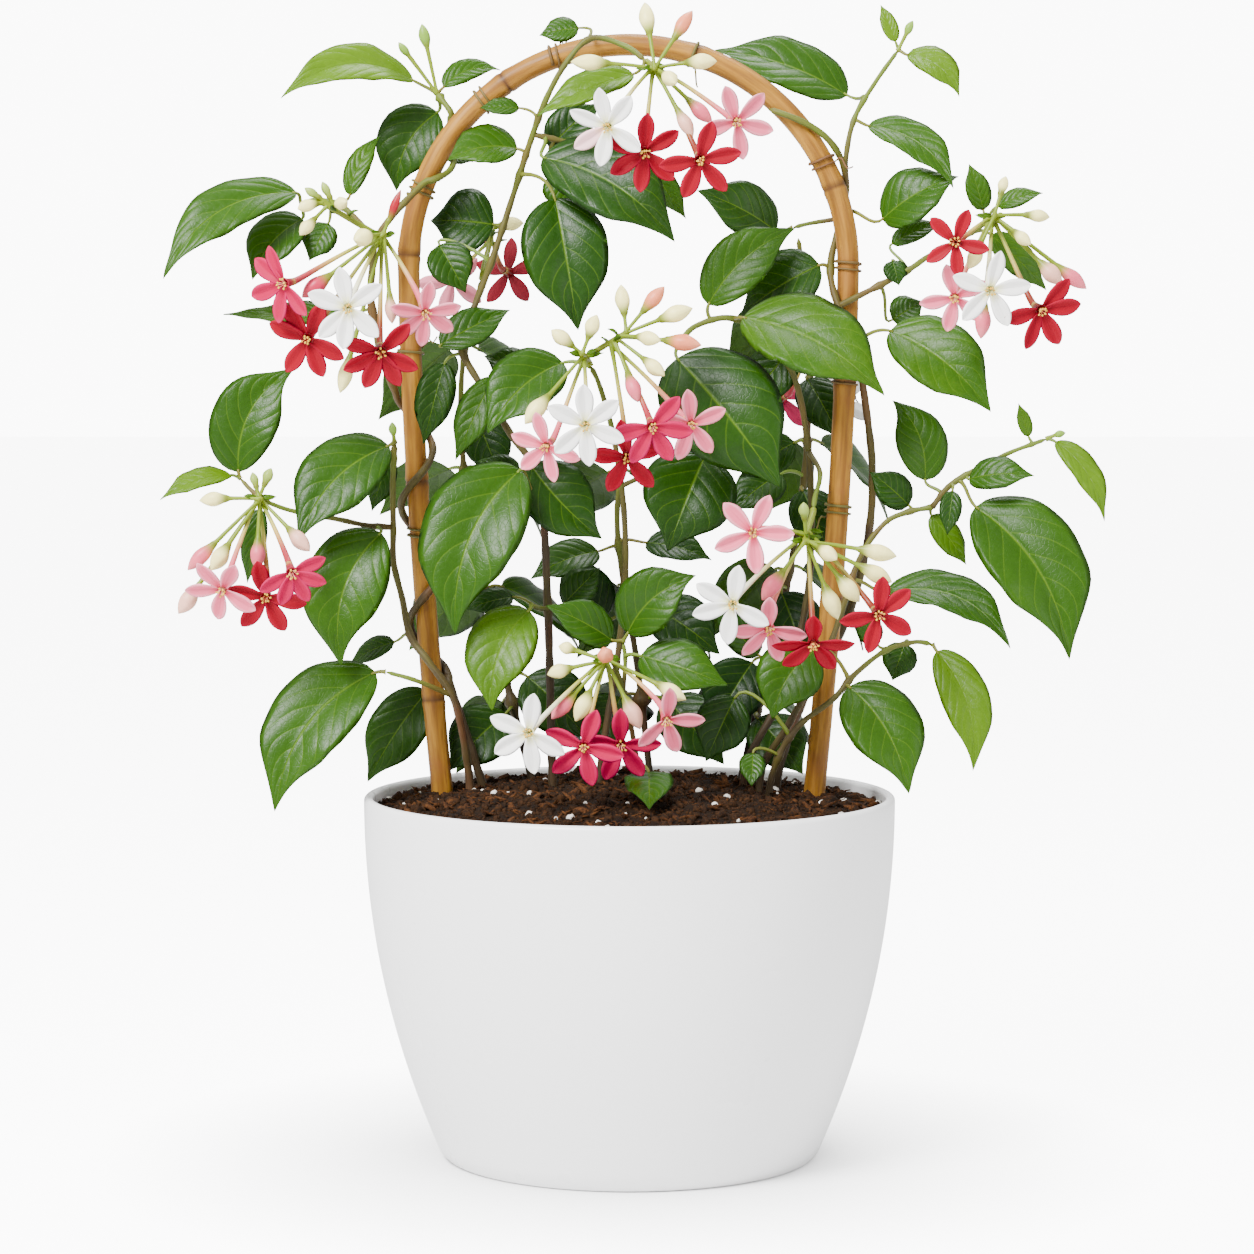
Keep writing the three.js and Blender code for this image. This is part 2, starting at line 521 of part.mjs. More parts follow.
// A skin over rings of points, closed at both ends. A ring of one point is a tip.
// The two faces of a blade are split along the same diagonals.
function loft(rings) {
  const starts = rings.map((_, k) => rings.slice(0, k).reduce((sum, ring) => sum + ring.length, 0));
  const index = [];
  const cap = (ring, start) => {
    for (let i = 2; i < ring.length; i += 1) index.push([start, start + i, start + i - 1]);
  };
  cap(rings[0], 0);
  for (let k = 0; k + 1 < rings.length; k += 1) {
    const count = Math.max(rings[k].length, rings[k + 1].length);
    const at = (ring, i) => starts[ring] + (rings[ring].length > 1 ? i % count : 0);
    for (let i = 0; i < count; i += 1) {
      const [a, b, c, d] = [at(k, i), at(k, i + 1), at(k + 1, i), at(k + 1, i + 1)];
      if (i < count / 2) index.push([a, b, d], [a, d, c]);
      else index.push([a, b, c], [b, d, c]);
    }
  }
  const last = rings.length - 1;
  const end = [];
  for (let i = 2; i < rings[last].length; i += 1) {
    end.push([starts[last], starts[last] + i - 1, starts[last] + i]);
  }
  const geometry = new THREE.BufferGeometry();
  const positions = rings.flat().flatMap((p) => p.toArray());
  geometry.setAttribute('position', new THREE.Float32BufferAttribute(positions, 3));
  geometry.setIndex([...index, ...end].flat());
  return solid(geometry);
}

function circleRing(centre, normal, binormal, radius, sides) {
  return range(sides).map((i) => {
    const angle = (i / sides) * Math.PI * 2;
    return along(along(centre, normal, Math.cos(angle) * radius), binormal, Math.sin(angle) * radius);
  });
}

const ringCount = (curve, spacing) => Math.max(2, Math.round(curve.getLength() / spacing));

// A round stem along a curve, tapering from one radius to the other
function stemSolid(curve, rootRadius, tipRadius, spacing, sides) {
  const count = ringCount(curve, spacing);
  const frames = curve.computeFrenetFrames(count, false);
  return loft(range(count + 1).map((i) => {
    const radius = THREE.MathUtils.lerp(rootRadius, tipRadius, i / count);
    return circleRing(curve.getPointAt(i / count), frames.normals[i], frames.binormals[i], radius, sides);
  }));
}

const smooth = (points) => new THREE.CatmullRomCurve3(points, false, 'catmullrom', 0.5);

// Pot and soil

function turned(profile) {
  const points = profile.map(([radius, z]) => new THREE.Vector2(radius, z));
  return new THREE.LatheGeometry(points, POT_SIDES).rotateX(Math.PI / 2);
}

function potSolid() {
  const outside = [POT_FOOT_ROUND, ...POT_LEVELS].map((z) => [potRadius(z), z]);
  const inside = [...POT_LEVELS].reverse().map((z) => [potRadius(z) - POT_WALL, z]);
  const lip = [[POT_RIM_RADIUS, POT_HEIGHT - POT_LIP_ROUND], [POT_RIM_RADIUS - POT_WALL / 2, POT_HEIGHT],
    [POT_RIM_RADIUS - POT_WALL, POT_HEIGHT - POT_LIP_ROUND]];
  const foot = [[0, 0], [POT_FOOT_RADIUS - POT_FOOT_ROUND / 2, 0]];
  const floor = [[POT_FOOT_RADIUS - POT_WALL, POT_FLOOR], [0, POT_FLOOR]];
  const shell = solid(turned([...foot, ...outside, ...lip, ...inside, ...floor]));
  const holes = range(DRAIN_COUNT).map((i) => {
    const angle = (i / DRAIN_COUNT) * Math.PI * 2;
    const hole = new THREE.CylinderGeometry(DRAIN_RADIUS, DRAIN_RADIUS, POT_FLOOR * 3, DRAIN_SIDES);
    hole.rotateX(Math.PI / 2);
    hole.translate(Math.cos(angle) * DRAIN_CIRCLE, Math.sin(angle) * DRAIN_CIRCLE, 0);
    return solid(hole);
  });
  return shell.subtract(fuse(holes));
}

function soilSolid(cutters) {
  const inset = (z) => [potRadius(z) - POT_WALL - CLEARANCE, z];
  const bottom = POT_FLOOR + CLEARANCE;
  const rim = POT_RIM_RADIUS - POT_WALL - CLEARANCE;
  const profile = [[0, bottom], [POT_FOOT_RADIUS - POT_WALL - 1, bottom], ...SOIL_LEVELS.map(inset),
    [rim, SOIL_EDGE_HEIGHT]];
  for (let ring = SOIL_RINGS; ring >= 0; ring -= 1) {
    const share = ring / (SOIL_RINGS + SOIL_PEAK);
    profile.push([rim * share, SOIL_EDGE_HEIGHT + SOIL_MOUND * (1 - share ** 2)]);
  }
  const geometry = turned(profile);
  const position = geometry.getAttribute('position');
  for (let i = 0; i < position.count; i += 1) {
    const [x, y, z] = [position.getX(i), position.getY(i), position.getZ(i)];
    if (z > SOIL_EDGE_HEIGHT) {
      const wave = Math.sin(x / SOIL_RELIEF_WAVES[0] + 1) * Math.cos(y / SOIL_RELIEF_WAVES[1]);
      const fade = THREE.MathUtils.clamp((rim - Math.hypot(x, y)) / SOIL_FADE, 0, 1);
      position.setZ(i, z + SOIL_RELIEF * wave * fade);
    }
  }
  return cutters.reduce((whole, cutter) => whole.subtract(cutter), solid(geometry));
}

// Hoop

// The hoop's centre line, by the distance along it from the buried end of the left leg
function hoopAt(distance) {
  const arch = Math.PI * HOOP_RADIUS;
  const point = HOOP_CENTRE.clone();
  const outward = new THREE.Vector3();
  if (distance >= HOOP_LEG && distance <= HOOP_LEG + arch) {
    const angle = (distance - HOOP_LEG) / HOOP_RADIUS;
    outward.set(-Math.cos(angle), 0, Math.sin(angle));
    point.addScaledVector(outward, HOOP_RADIUS);
  } else {
    const side = distance < HOOP_LEG ? -1 : 1;
    const depth = distance < HOOP_LEG ? HOOP_LEG - distance : distance - HOOP_LEG - arch;
    const pull = HOOP_LEG_PULL * Math.min(1, depth / HOOP_LEG_SPAN) ** HOOP_LEG_BEND;
    outward.set(side, 0, 0);
    point.x += side * (HOOP_RADIUS - pull);
    point.z -= depth;
  }
  point.y -= HOOP_SLANT * point.x;
  return { point, outward };
}

function hoopSolid(radius) {
  const arch = Math.PI * HOOP_RADIUS;
  const distances = [
    ...HOOP_LEG_STATIONS,
    ...range(HOOP_ARCH_RINGS).map((i) => HOOP_LEG + (i / (HOOP_ARCH_RINGS - 1)) * arch),
    ...[...HOOP_LEG_STATIONS].reverse().map((distance) => 2 * HOOP_LEG + arch - distance),
  ];
  return loft(distances.map(hoopAt).map(({ point, outward }) => circleRing(point, outward, FRONT, radius,
    HOOP_SIDES)));
}

function twine([from, to, fromAngle, toAngle, count], stemRadius) {
  const reach = HOOP_ROD_RADIUS + stemRadius + TWINE_GAP;
  return range(count).map((i) => {
    const share = i / (count - 1);
    const { point, outward } = hoopAt(THREE.MathUtils.lerp(from, to, share));
    const angle = rad(THREE.MathUtils.lerp(fromAngle, toAngle, share));
    return along(along(point, FRONT, Math.cos(angle) * reach), outward, Math.sin(angle) * reach);
  });
}

// Leafy stems

// The nearest point of some stems, with the stem's radius there
function nearestOn(lines, target) {
  let best = { distance: Infinity };
  lines.forEach(({ samples }) => samples.forEach(({ point, radius }) => {
    const distance = point.distanceTo(target);
    if (distance < best.distance) best = { distance, point, radius };
  }));
  return best;
}

// The centre lines of a vine's stems, with samples of them on the straight runs from ring to ring.
// A side stem starts on the nearest sample of the stems before it.
function stemLines(stems) {
  const lines = [];
  stems.forEach(([rootRadius, tipRadius, spacing, points]) => {
    const path = points.flatMap((p) => (p[0] === 'twine' ? twine(p.slice(1), rootRadius) : [vector(p)]));
    if (lines.length) path[0] = nearestOn(lines, path[0]).point;
    const curve = smooth(path);
    const count = ringCount(curve, spacing);
    const rings = range(count + 1).map((i) => curve.getPointAt(i / count));
    const steps = Math.ceil(spacing / SAMPLE_STEP);
    const samples = rings.slice(1).flatMap((ring, i) => range(steps).map((k) => ({
      point: rings[i].clone().lerp(ring, k / steps),
      radius: THREE.MathUtils.lerp(rootRadius, tipRadius, (i + k / steps) / count),
    })));
    lines.push({ curve, samples, rootRadius, tipRadius, spacing });
  });
  return lines;
}

// A petiole and its blade, thick along the midrib and sharp at the edges. The section's corners are
// the left edge, the right edge, the midrib's underside and, on a large leaf, its upper side.
function leafSolid(root, [base, tip, width, bow, swerve, turn, lift]) {
  const [start, end] = [vector(base), vector(tip)];
  const run = end.clone().sub(start);
  const direction = run.clone().normalize();
  const facing = new THREE.Vector3(Math.sin(rad(turn)) * Math.cos(rad(lift)),
    -Math.cos(rad(turn)) * Math.cos(rad(lift)), Math.sin(rad(lift)));
  const normal = facing.addScaledVector(direction, -facing.dot(direction)).normalize();
  const side = normal.clone().cross(direction);
  const { ridge, stations } = LEAF_FORMS.find(({ from }) => width >= from);
  const middle = (share) => {
    const bend = 4 * share * (1 - share);
    return along(along(along(start, run, share), normal, bow * bend), side, swerve * bend);
  };
  const section = (centre, towards, halfWidth, rise, above, below) => {
    const lean = new THREE.Quaternion().setFromUnitVectors(direction, towards.clone().normalize());
    const [across, upward] = [side, normal].map((axis) => axis.clone().applyQuaternion(lean));
    const corners = [[-halfWidth, rise], ...(ridge ? [[0, above]] : []), [halfWidth, rise], [0, -below]];
    return corners.map(([u, v]) => along(along(centre, across, u), upward, v));
  };
  const stalk = start.clone().sub(root).normalize();
  const petiole = [PETIOLE_RADIUS, ridge ? 0 : PETIOLE_RADIUS / 2, PETIOLE_RADIUS, PETIOLE_RADIUS];
  return loft([
    section(root, stalk, ...petiole),
    section(start, stalk.clone().add(direction), ...petiole),
    ...stations.map(([share, spread]) => {
      const halfWidth = (width / 2) * spread;
      return section(middle(share), direction, halfWidth, halfWidth * BLADE_FOLD, BLADE_ABOVE, BLADE_BELOW);
    }),
    [end],
  ]);
}

// A bud at the end of its own stalk, as one body that swells and closes to a point
function budSolid(from, tip, length, width) {
  const run = tip.clone().sub(from);
  const reach = run.length();
  const axis = run.clone().normalize();
  const across = axis.clone().cross(Math.abs(axis.z) > 0.9 ? FRONT : UP).normalize();
  const other = axis.clone().cross(across);
  const neck = 1 - Math.min(length, reach * BUD_SHARE) / reach;
  const rise = PEDICEL_ARCH * (1 - Math.abs(axis.z));
  const arch = (share) => along(along(from, run, share), UP, rise * share * (1 - share));
  const ring = (share, radius) => circleRing(arch(share), across, other, radius, TUBE_SIDES);
  const swelling = [BUD_BELLY, BUD_SHOULDER].map(([share, spread]) => (
    ring(neck + (1 - neck) * share, width * spread)));
  return loft([ring(0, PEDICEL_RADIUS), ring(neck, PEDICEL_RADIUS * BUD_NECK), ...swelling, [arch(1)]]);
}

function vineSolid({ stems, leaves, buds }) {
  const lines = stemLines(stems);
  const rootOf = (base) => nearestOn(lines, vector(base)).point;
  return fuse([
    ...lines.map((line) => stemSolid(line.curve, line.rootRadius, line.tipRadius, line.spacing, STEM_SIDES)),
    ...leaves.map((leaf) => leafSolid(rootOf(leaf[0]), leaf)),
    ...buds.map(([root, tip, length, width]) => budSolid(rootOf(root), vector(tip), length, width)),
  ]);
}

// A small repeatable random generator, so that every build is the same
function random(seed) {
  let state = seed;
  return () => {
    state = (state + 0x6d2b79f5) | 0;
    let t = Math.imul(state ^ (state >>> 15), 1 | state);
    t = (t + Math.imul(t ^ (t >>> 7), 61 | t)) ^ t;
    return ((t ^ (t >>> 14)) >>> 0) / 4294967296;
  };
}

function backVine({ name, seed, pairs, from, path, low }) {
  const draw = random(seed);
  const between = ([low, high]) => low + (high - low) * draw();
  const curve = smooth(path.map(vector));
  const leaves = range(pairs * 2).map((i) => {
    const node = curve.getPointAt(from + (BACK_TO - from) * (Math.floor(i / 2) / (pairs - 1)));
    const spread = between(BACK_SPREAD);
    const azimuth = i % 2 ? 180 - spread : spread;
    const droop = rad(between(BACK_DROOP));
    const length = between(BACK_LENGTH);
    const out = new THREE.Vector3(Math.cos(rad(azimuth)), Math.sin(rad(azimuth)), 0);
    const base = along(along(node, out, BACK_PETIOLE), UP, BACK_PETIOLE * BACK_RISE);
    const tip = along(along(base, out, length * Math.cos(droop)), UP, -length * Math.sin(droop));
    return [base.toArray(), tip.toArray(), length * BACK_ASPECT, length * BACK_BOW, 0, azimuth + 90,
      BACK_LIFT];
  });
  return { name, stems: [[...BACK_STEM, path]], leaves: [...leaves, ...low], buds: [] };
}

// Flower clusters

// The first two points of a cluster's stalk: off the end of a stem, or off the side of one
function clusterStart(cluster, vine) {
  const lines = stemLines(vine.stems);
  if (cluster.point) {
    const { point, radius } = nearestOn(lines, vector(cluster.point));
    const direction = vector(cluster.heads[0]).sub(point).normalize();
    return [STALK_GAP, STALK_LEAD].map((distance) => along(point, direction, radius + distance));
  }
  const { curve } = lines[cluster.stem];
  const tangent = curve.getTangent(1);
  return [CLEARANCE, STALK_LEAD].map((distance) => along(curve.getPoint(1), tangent, distance));
}

function floretFrame([centre, diameter, faces]) {
  const axis = vector(faces).normalize();
  const right = UP.clone().cross(axis).normalize();
  const upward = axis.clone().cross(right);
  return { centre: vector(centre), radius: diameter / 2, axis, right, upward };
}

// The stalks of a head leave a short rachis one after another, from its root to its tip.
function clusterSolid(cluster, vine) {
  const heads = cluster.heads.map(vector);
  const stalk = [...clusterStart(cluster, vine), heads[0]];
  const fork = heads[0].clone().lerp(stalk[1], RACHIS_FORK);
  const stalks = heads.map((head, i) => (i ? [fork, head] : stalk));
  const bodies = [];
  const rachis = stalks.map((points) => {
    const end = points[points.length - 1];
    const axis = end.clone().sub(points[points.length - 2]).normalize();
    const line = smooth([...points, along(end, axis, RACHIS_LENGTH)]);
    bodies.push(stemSolid(line, ...RACHIS_RADII, TUBE_SPACING, RACHIS_SIDES));
    return { start: along(end, axis, -RACHIS_SUNK), axis };
  });
  const hung = [...cluster.buds.map((bud) => ({ bud, head: bud[3] })),
    ...cluster.florets.map((floret) => ({ floret, head: floret[5] }))];
  heads.forEach((_, i) => {
    const own = hung.filter(({ head }) => head === i);
    own.forEach(({ bud, floret }, k) => {
      const { start, axis } = rachis[i];
      const share = 1 - k / Math.max(1, own.length - 1);
      const root = along(start, axis, (RACHIS_LENGTH + RACHIS_SUNK / 2) * share);
      bodies.push(bud ? budSolid(root, vector(bud[0]), bud[1], bud[2]) : floretTube(root, floret));
    });
  });
  return fuse(bodies);
}

function floretTube(root, floret) {
  const { centre, axis } = floretFrame(floret);
  const end = along(centre, axis, -(THROAT_LENGTH + CLEARANCE));
  const bend = along(end, axis, -TUBE_BEND);
  const crest = root.clone().lerp(bend, 0.5).addScaledVector(UP, PEDICEL_ARCH);
  const tube = new THREE.CubicBezierCurve3(root, crest, bend, end);
  return stemSolid(tube, PEDICEL_RADIUS, TUBE_END_RADIUS, TUBE_SPACING, TUBE_SIDES);
}

// A floret: petals that spread from a throat and rise a little towards their tips. Each petal is
// thick along its middle and sharp at its edge.
function floretSolid(floret) {
  const { centre, radius, axis, right, upward } = floretFrame(floret);
  const angles = [...floret[3]].sort((a, b) => a - b);
  const at = (angle, reach, across, height) => {
    const [c, s] = [Math.cos(rad(angle)), Math.sin(rad(angle))];
    const [u, v] = [reach * c - across * s, reach * s + across * c];
    const cup = PETAL_CUP * (reach / radius) ** 2;
    return along(along(along(centre, right, u), upward, v), axis, height + cup);
  };
  const notches = angles.map((angle, i) => (angle + (angles[i + 1] ?? angles[0] + 360)) / 2);
  const count = angles.length;
  const points = [at(0, 0, 0, BOSS_HEIGHT)];
  // Petals that stand close together are narrower on the side where they would meet
  const edge = (share, spread, side, gap) => {
    const room = radius * share * Math.tan(rad(Math.min(gap, PETAL_WIDEST_GAP) - PETAL_GAP));
    return [share, side * Math.min(radius * PETAL_HALF_WIDTH * spread, room)];
  };
  const outline = (before, after) => [edge(PETAL_WAIST, 1, -1, before), edge(...PETAL_SHOULDER, -1, before),
    [1, 0], edge(...PETAL_SHOULDER, 1, after), edge(PETAL_WAIST, 1, 1, after)];
  const halfGap = (i) => notches[(i + count) % count] - angles[(i + count) % count];
  angles.forEach((angle, i) => points.push(
    ...outline(halfGap(i - 1), halfGap(i)).map(([share, across]) => at(angle, radius * share, across, 0)),
    at(notches[i], radius * PETAL_NOTCH, 0, 0),
    at(angle, radius * PETAL_MIDDLE, 0, -PETAL_THICKNESS),
    at(notches[i], THROAT_RADIUS, 0, -PETAL_THICKNESS),
    at(notches[i], TUBE_END_RADIUS, 0, -THROAT_LENGTH),
  ));
  const corner = (i, k) => 1 + ((i + count) % count) * 9 + k;
  const index = [];
  const fan = (hub, rim) => rim.forEach((p, k) => index.push([hub, p, rim[(k + 1) % rim.length]]));
  for (let i = 0; i < count; i += 1) {
    const rim = [corner(i - 1, 5), ...range(6).map((k) => corner(i, k))];
    const [throat, nextThroat] = [corner(i - 1, 7), corner(i, 7)];
    const [end, nextEnd] = [corner(i - 1, 8), corner(i, 8)];
    rim.slice(1).forEach((p, k) => index.push([0, rim[k], p]));
    fan(corner(i, 6), [throat, ...rim, nextThroat].reverse());
    index.push([nextThroat, throat, end], [nextThroat, end, nextEnd]);
    if (i > 1) index.push([corner(0, 8), corner(i, 8), corner(i - 1, 8)]);
  }
  const star = new THREE.BufferGeometry();
  star.setAttribute('position', new THREE.Float32BufferAttribute(points.flatMap((p) => p.toArray()), 3));
  star.setIndex(index.flat());
  return solid(star);
}

// The whole plant

const group = new THREE.Group();

function place(name, body, finish) {
  const mesh = body.getMesh();
  const geometry = new THREE.BufferGeometry();
  geometry.setAttribute('position', new THREE.BufferAttribute(new Float32Array(mesh.vertProperties), 3));
  geometry.setIndex(new THREE.BufferAttribute(new Uint32Array(mesh.triVerts), 1));
  geometry.computeVertexNormals();
  const [color, roughness] = FINISHES[finish];
  const node = new THREE.Mesh(geometry, new THREE.MeshStandardMaterial({ color, roughness, metalness: 0 }));
  node.name = name;
  group.add(node);
}

const vines = [...VINES, ...BACK_VINES.map(backVine)];
const soilCutters = [hoopSolid(HOOP_ROD_RADIUS + HOLE_CLEARANCE), ...vines.map(({ stems }) => {
  const [{ curve, rootRadius, tipRadius, spacing }] = stemLines(stems);
  return stemSolid(curve, rootRadius + HOLE_CLEARANCE, tipRadius + HOLE_CLEARANCE, spacing, STEM_SIDES);
})];

place('pot', potSolid(), 'pot');
place('soil', soilSolid(soilCutters), 'soil');
place('hoop', hoopSolid(HOOP_ROD_RADIUS), 'bamboo');
vines.forEach((vine) => place(vine.name, vineSolid(vine), 'leaf'));
CLUSTERS.forEach((cluster) => {
  const vine = vines.find(({ name }) => name === cluster.vine);
  place(`cluster_${cluster.name}`, clusterSolid(cluster, vine), 'stalk');
  cluster.florets.forEach((floret, i) => {
    place(`floret_${cluster.name}_${i + 1}_${floret[4]}`, floretSolid(floret), floret[4]);
  });
});

export default group;
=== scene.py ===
import math

import bmesh
import bpy
import numpy as np
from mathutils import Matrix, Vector


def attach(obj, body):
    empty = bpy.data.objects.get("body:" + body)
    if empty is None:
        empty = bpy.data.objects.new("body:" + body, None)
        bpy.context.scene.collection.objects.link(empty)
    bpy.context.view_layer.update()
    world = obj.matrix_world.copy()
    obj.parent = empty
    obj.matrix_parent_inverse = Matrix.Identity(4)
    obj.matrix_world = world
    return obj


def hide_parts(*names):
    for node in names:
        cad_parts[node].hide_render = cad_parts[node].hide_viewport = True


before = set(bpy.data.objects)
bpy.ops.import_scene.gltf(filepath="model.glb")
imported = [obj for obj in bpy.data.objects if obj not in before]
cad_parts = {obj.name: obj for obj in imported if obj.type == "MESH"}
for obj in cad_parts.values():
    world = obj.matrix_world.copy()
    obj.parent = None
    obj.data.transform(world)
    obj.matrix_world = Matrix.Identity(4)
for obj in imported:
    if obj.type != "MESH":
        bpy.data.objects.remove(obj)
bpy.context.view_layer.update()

# Lengths below are millimetres, in the row's frame: +Z up, -Y the front. Angles are degrees.
MM = 0.001

# Camera
CAMERA_PLACE = (-1.2, -1799.0, 386.0)
CAMERA_DIP = 4.2
CAMERA_LENS = 108.42
CAMERA_SENSOR = 36.0

# Pot
POT_HEIGHT = 173.8
POT_RIM_RADIUS = 127.0
POT_FOOT_RADIUS = 90.0
POT_FLARE_POWER = 2.1
POT_WALL = 4.5
POT_FLOOR = 5.0
POT_SEGMENTS = 144
POT_LEVELS_OUTSIDE = 30
POT_LEVELS_INSIDE = 24
POT_FOOT_ROUND = 3.0
POT_RING_INSET = 11.0
POT_HOLLOW_INSET = 14.0
POT_CORNER_ROUND = 4.0
POT_CORNER_POINTS = 5
POT_LIP_POINTS = 11
POT_HOLLOW = 1.2
POT_SHARP_EDGE = 40
DRAIN_COUNT = 5
DRAIN_RADIUS = 4.5
DRAIN_CIRCLE = 55.0
DRAIN_SEGMENTS = 32
DRAIN_DEPTH = 20.0

# Soil: a lump is (height, length of its wave, shift)
SOIL_EDGE_HEIGHT = 167.5
SOIL_MOUND = 11.0
SOIL_SEGMENTS = 96
SOIL_RINGS = 40
SOIL_RADIUS = 122.1
SOIL_LUMPS = ((1.3, 9.0, 1.0), (0.8, 4.3, 2.1), (0.5, 2.1, 0.4))
SOIL_LUMP_SKEW = 1.1
SOIL_LUMP_FADE = 9
SOIL_LUMP_LEAST = 0.15
SOIL_BASE_HEIGHT = 6.0
SOIL_BASE_INSET = 4.0
SOIL_SIDE_START = 12.0
SOIL_SIDE_STOP = 2.0
SOIL_SIDE_LEVELS = 16

# Potting mix: what lies on the soil, how many to the square metre, from which size to which, and how
# far each may tilt in radians. A grain is (subdivisions, proportions, roughness). Fibres have none.
MIX = [
    {"piece": "soil_crumbs", "matter": "crumb", "density": 92000, "sizes": (1.4, 3.6), "tilt": math.pi,
     "forms": 4, "grain": (1, (1, 0.8, 0.7), 0.3)},
    {"piece": "soil_clods", "matter": "crumb", "density": 9000, "sizes": (3.2, 6.4), "tilt": math.pi,
     "forms": 3, "grain": (2, (1, 0.85, 0.75), 0.26)},
    {"piece": "bark_chips", "matter": "bark_chip", "density": 13000, "sizes": (3.5, 9), "tilt": 0.7,
     "forms": 4, "grain": (1, (1.5, 0.55, 0.24), 0.34)},
    {"piece": "perlite", "matter": "perlite", "density": 1500, "sizes": (1.6, 4.6), "tilt": math.pi,
     "forms": 3, "grain": (2, (1, 0.9, 0.75), 0.2)},
    {"piece": "fibres", "matter": "bark_chip", "density": 5600, "sizes": (0.5, 1.1), "tilt": 0.35,
     "forms": 4, "grain": None},
]
MIX_SEED = 3
FORM_SEED = 1
FORM_SEED_STEP = 10
GRAIN_RADIUS = 0.5
FIBRE_LENGTH = 10.0
FIBRE_KNOTS = 4
FIBRE_KNOT_GAP = 3.4
FIBRE_WANDER = 3.0
FIBRE_RISE = 1.6
FIBRE_POINTS = 7
FIBRE_RADIUS = 0.34
FIBRE_TAPER = 0.05
FIBRE_SIDES = 4

# Hoop: a swelling or a mark at a joint is (size, half width)
HOOP_ROD_RADIUS = 5.2
HOOP_RADIUS = 104.5
HOOP_CENTRE = (-1.0, 5.0, 425.5)
HOOP_LEG = 365.0
HOOP_LEG_PULL = 15.0
HOOP_LEG_SPAN = 250.0
HOOP_LEG_BEND = 1.6
HOOP_SLANT = 0.08
HOOP_SIDES = 24
HOOP_STEP = 1.5
HOOP_JOINTS = (44, 158, 262, 371, 468, 563, 655, 748, 851, 955)
JOINT_SWELL = ((0.55, 5.0), (-0.5, 0.9))
JOINT_MARK = ((0.85, 1.1), (0.2, 6.0))
CANE_PATTERN = 60.0

# Tendrils: (distance along the hoop, turns round it). A loose end goes on in three steps.
TENDRILS = ((235, 2), (322, 1.5), (398, 2.5), (452, 2), (492, 1.5), (560, 1), (640, 1.5), (690, 2),
            (742, 2.5), (806, 2), (872, 1.5))
TENDRIL_SEED = 5
TENDRIL_PITCH = 3.2
TENDRIL_REACH = 0.9
TENDRIL_POINTS = 26
TENDRIL_RADII = (0.75, 0.4)
TENDRIL_SIDES = 6
TENDRIL_STEP = 3.0
TENDRIL_LEAN = 1.5
TENDRIL_CURL = 2.5

# Stems: a lump is (share of the radius, length of its wave, shift)
CLEARANCE = 0.4
STEM_SIDES = 10
STEM_RING = 2.4
STEM_JOINT_SWELL = 0.38
STEM_JOINT_REACH = 1.6
STEM_LUMPS = ((0.05, 3.1, 0), (0.04, 1.7, 1))
STEM_END_LEAST = 0.02
BARK_PATTERN = 40.0
MAIN_STEM_TONES = (0.0, 0.75)
SIDE_STEM_TONES = (0.4, 1.0)
TWINE_GAP = 1.0
TWINE_STEP = 16.0

# Leaves: a fold or a curl is (amount, random spread), a twist (most at the tip, most in the middle), a
# wave (height as a share of the length, waves along the blade), a petiole's radius (share, radius).
LEAF_SLOT = 1
PETIOLE_SLOT = 2
BLADE_ROUND_BASE = 0.58
BLADE_TAPER = 0.85
BLADE_WIDEST = 0.381
BLADE_TIP_DRAW = 0.55
BLADE_TIP_SPAN = (0.62, 0.98)
BLADE_THICKNESS = 0.4
BLADE_ROW = 2.4
BLADE_ROWS = (9, 30)
BLADE_END_ROWS = 0.55
BLADE_COLUMNS = 13
SMALL_BLADE = 20
SMALL_BLADE_COLUMNS = 7
BROAD_BLADE = 30
BLADE_TWIST = (0.34, 0.16)
BLADE_FOLD = (0.22, 0.08)
BLADE_FOLD_DEPTH = 0.8
BLADE_CURL = (0.14, 0.05)
BLADE_CURL_POWER = 2.4
BLADE_WAVES = ((0.010, 2.3), (0.006, 4.6))
BLADE_WAVE_POWER = 2.2
BLADE_WAVE_SHIFT = 1.3
BLADE_WAVE_PHASE = 6.3
RIB_HEIGHT = 0.75
RIB_HALF_WIDTH = 0.8
RIB_TAPER = 0.6
PETIOLE_SIDES = 8
PETIOLE_POINTS = 9
PETIOLE_RADII = ((0, 1.5), (0.15, 1.0), (0.8, 0.85), (1, 0.6))
PETIOLE_THIN = 0.72
PETIOLE_LEAN = 0.5
PETIOLE_SHIFT = 0.3
PETIOLE_CURVES = (0.4, 0.35)
PETIOLE_LAP = 0.03
PETIOLE_REDNESS = 0.55
LEAF_TONE_SPREAD = 0.16
FRONT_LEAF_TURN = 0.0

# Flower stalks and buds: an outline is (share of the length, half width as a share of the width)
STALK_GAP = 0.6
STALK_LEAD = 4.0
STALK_SLOT = 0
RACHIS_LENGTH = 9.0
RACHIS_SUNK = 2.0
RACHIS_FORK = 0.3
RACHIS_POINTS = 22
RACHIS_RADII = (1.5, 1.25)
RACHIS_SIDES = 8
RACHIS_REDNESS = 0.15
PEDICEL_ARCH = 3.0
PEDICEL_RADIUS = 0.8
PEDICEL_GROWTH = 0.55
PEDICEL_FOOT = 0.5
PEDICEL_FOOT_REACH = 1.8
BUD_SIDES = 15
BUD_POINTS = 34
BUD_SHARE = 0.8
BUD_OUTLINE = ((0, 0.16), (0.08, 0.25), (0.2, 0.36), (0.34, 0.46), (0.46, 0.5), (0.6, 0.475), (0.74, 0.385),
               (0.86, 0.255), (0.94, 0.13), (1, 0.02))
BUD_KEELS = 5
BUD_KEEL_HEIGHT = 0.07
BUD_KEEL_SPAN = (0.15, 0.6)
BUD_COLLAR = 0.55
BUD_COLLAR_REACH = 1.1
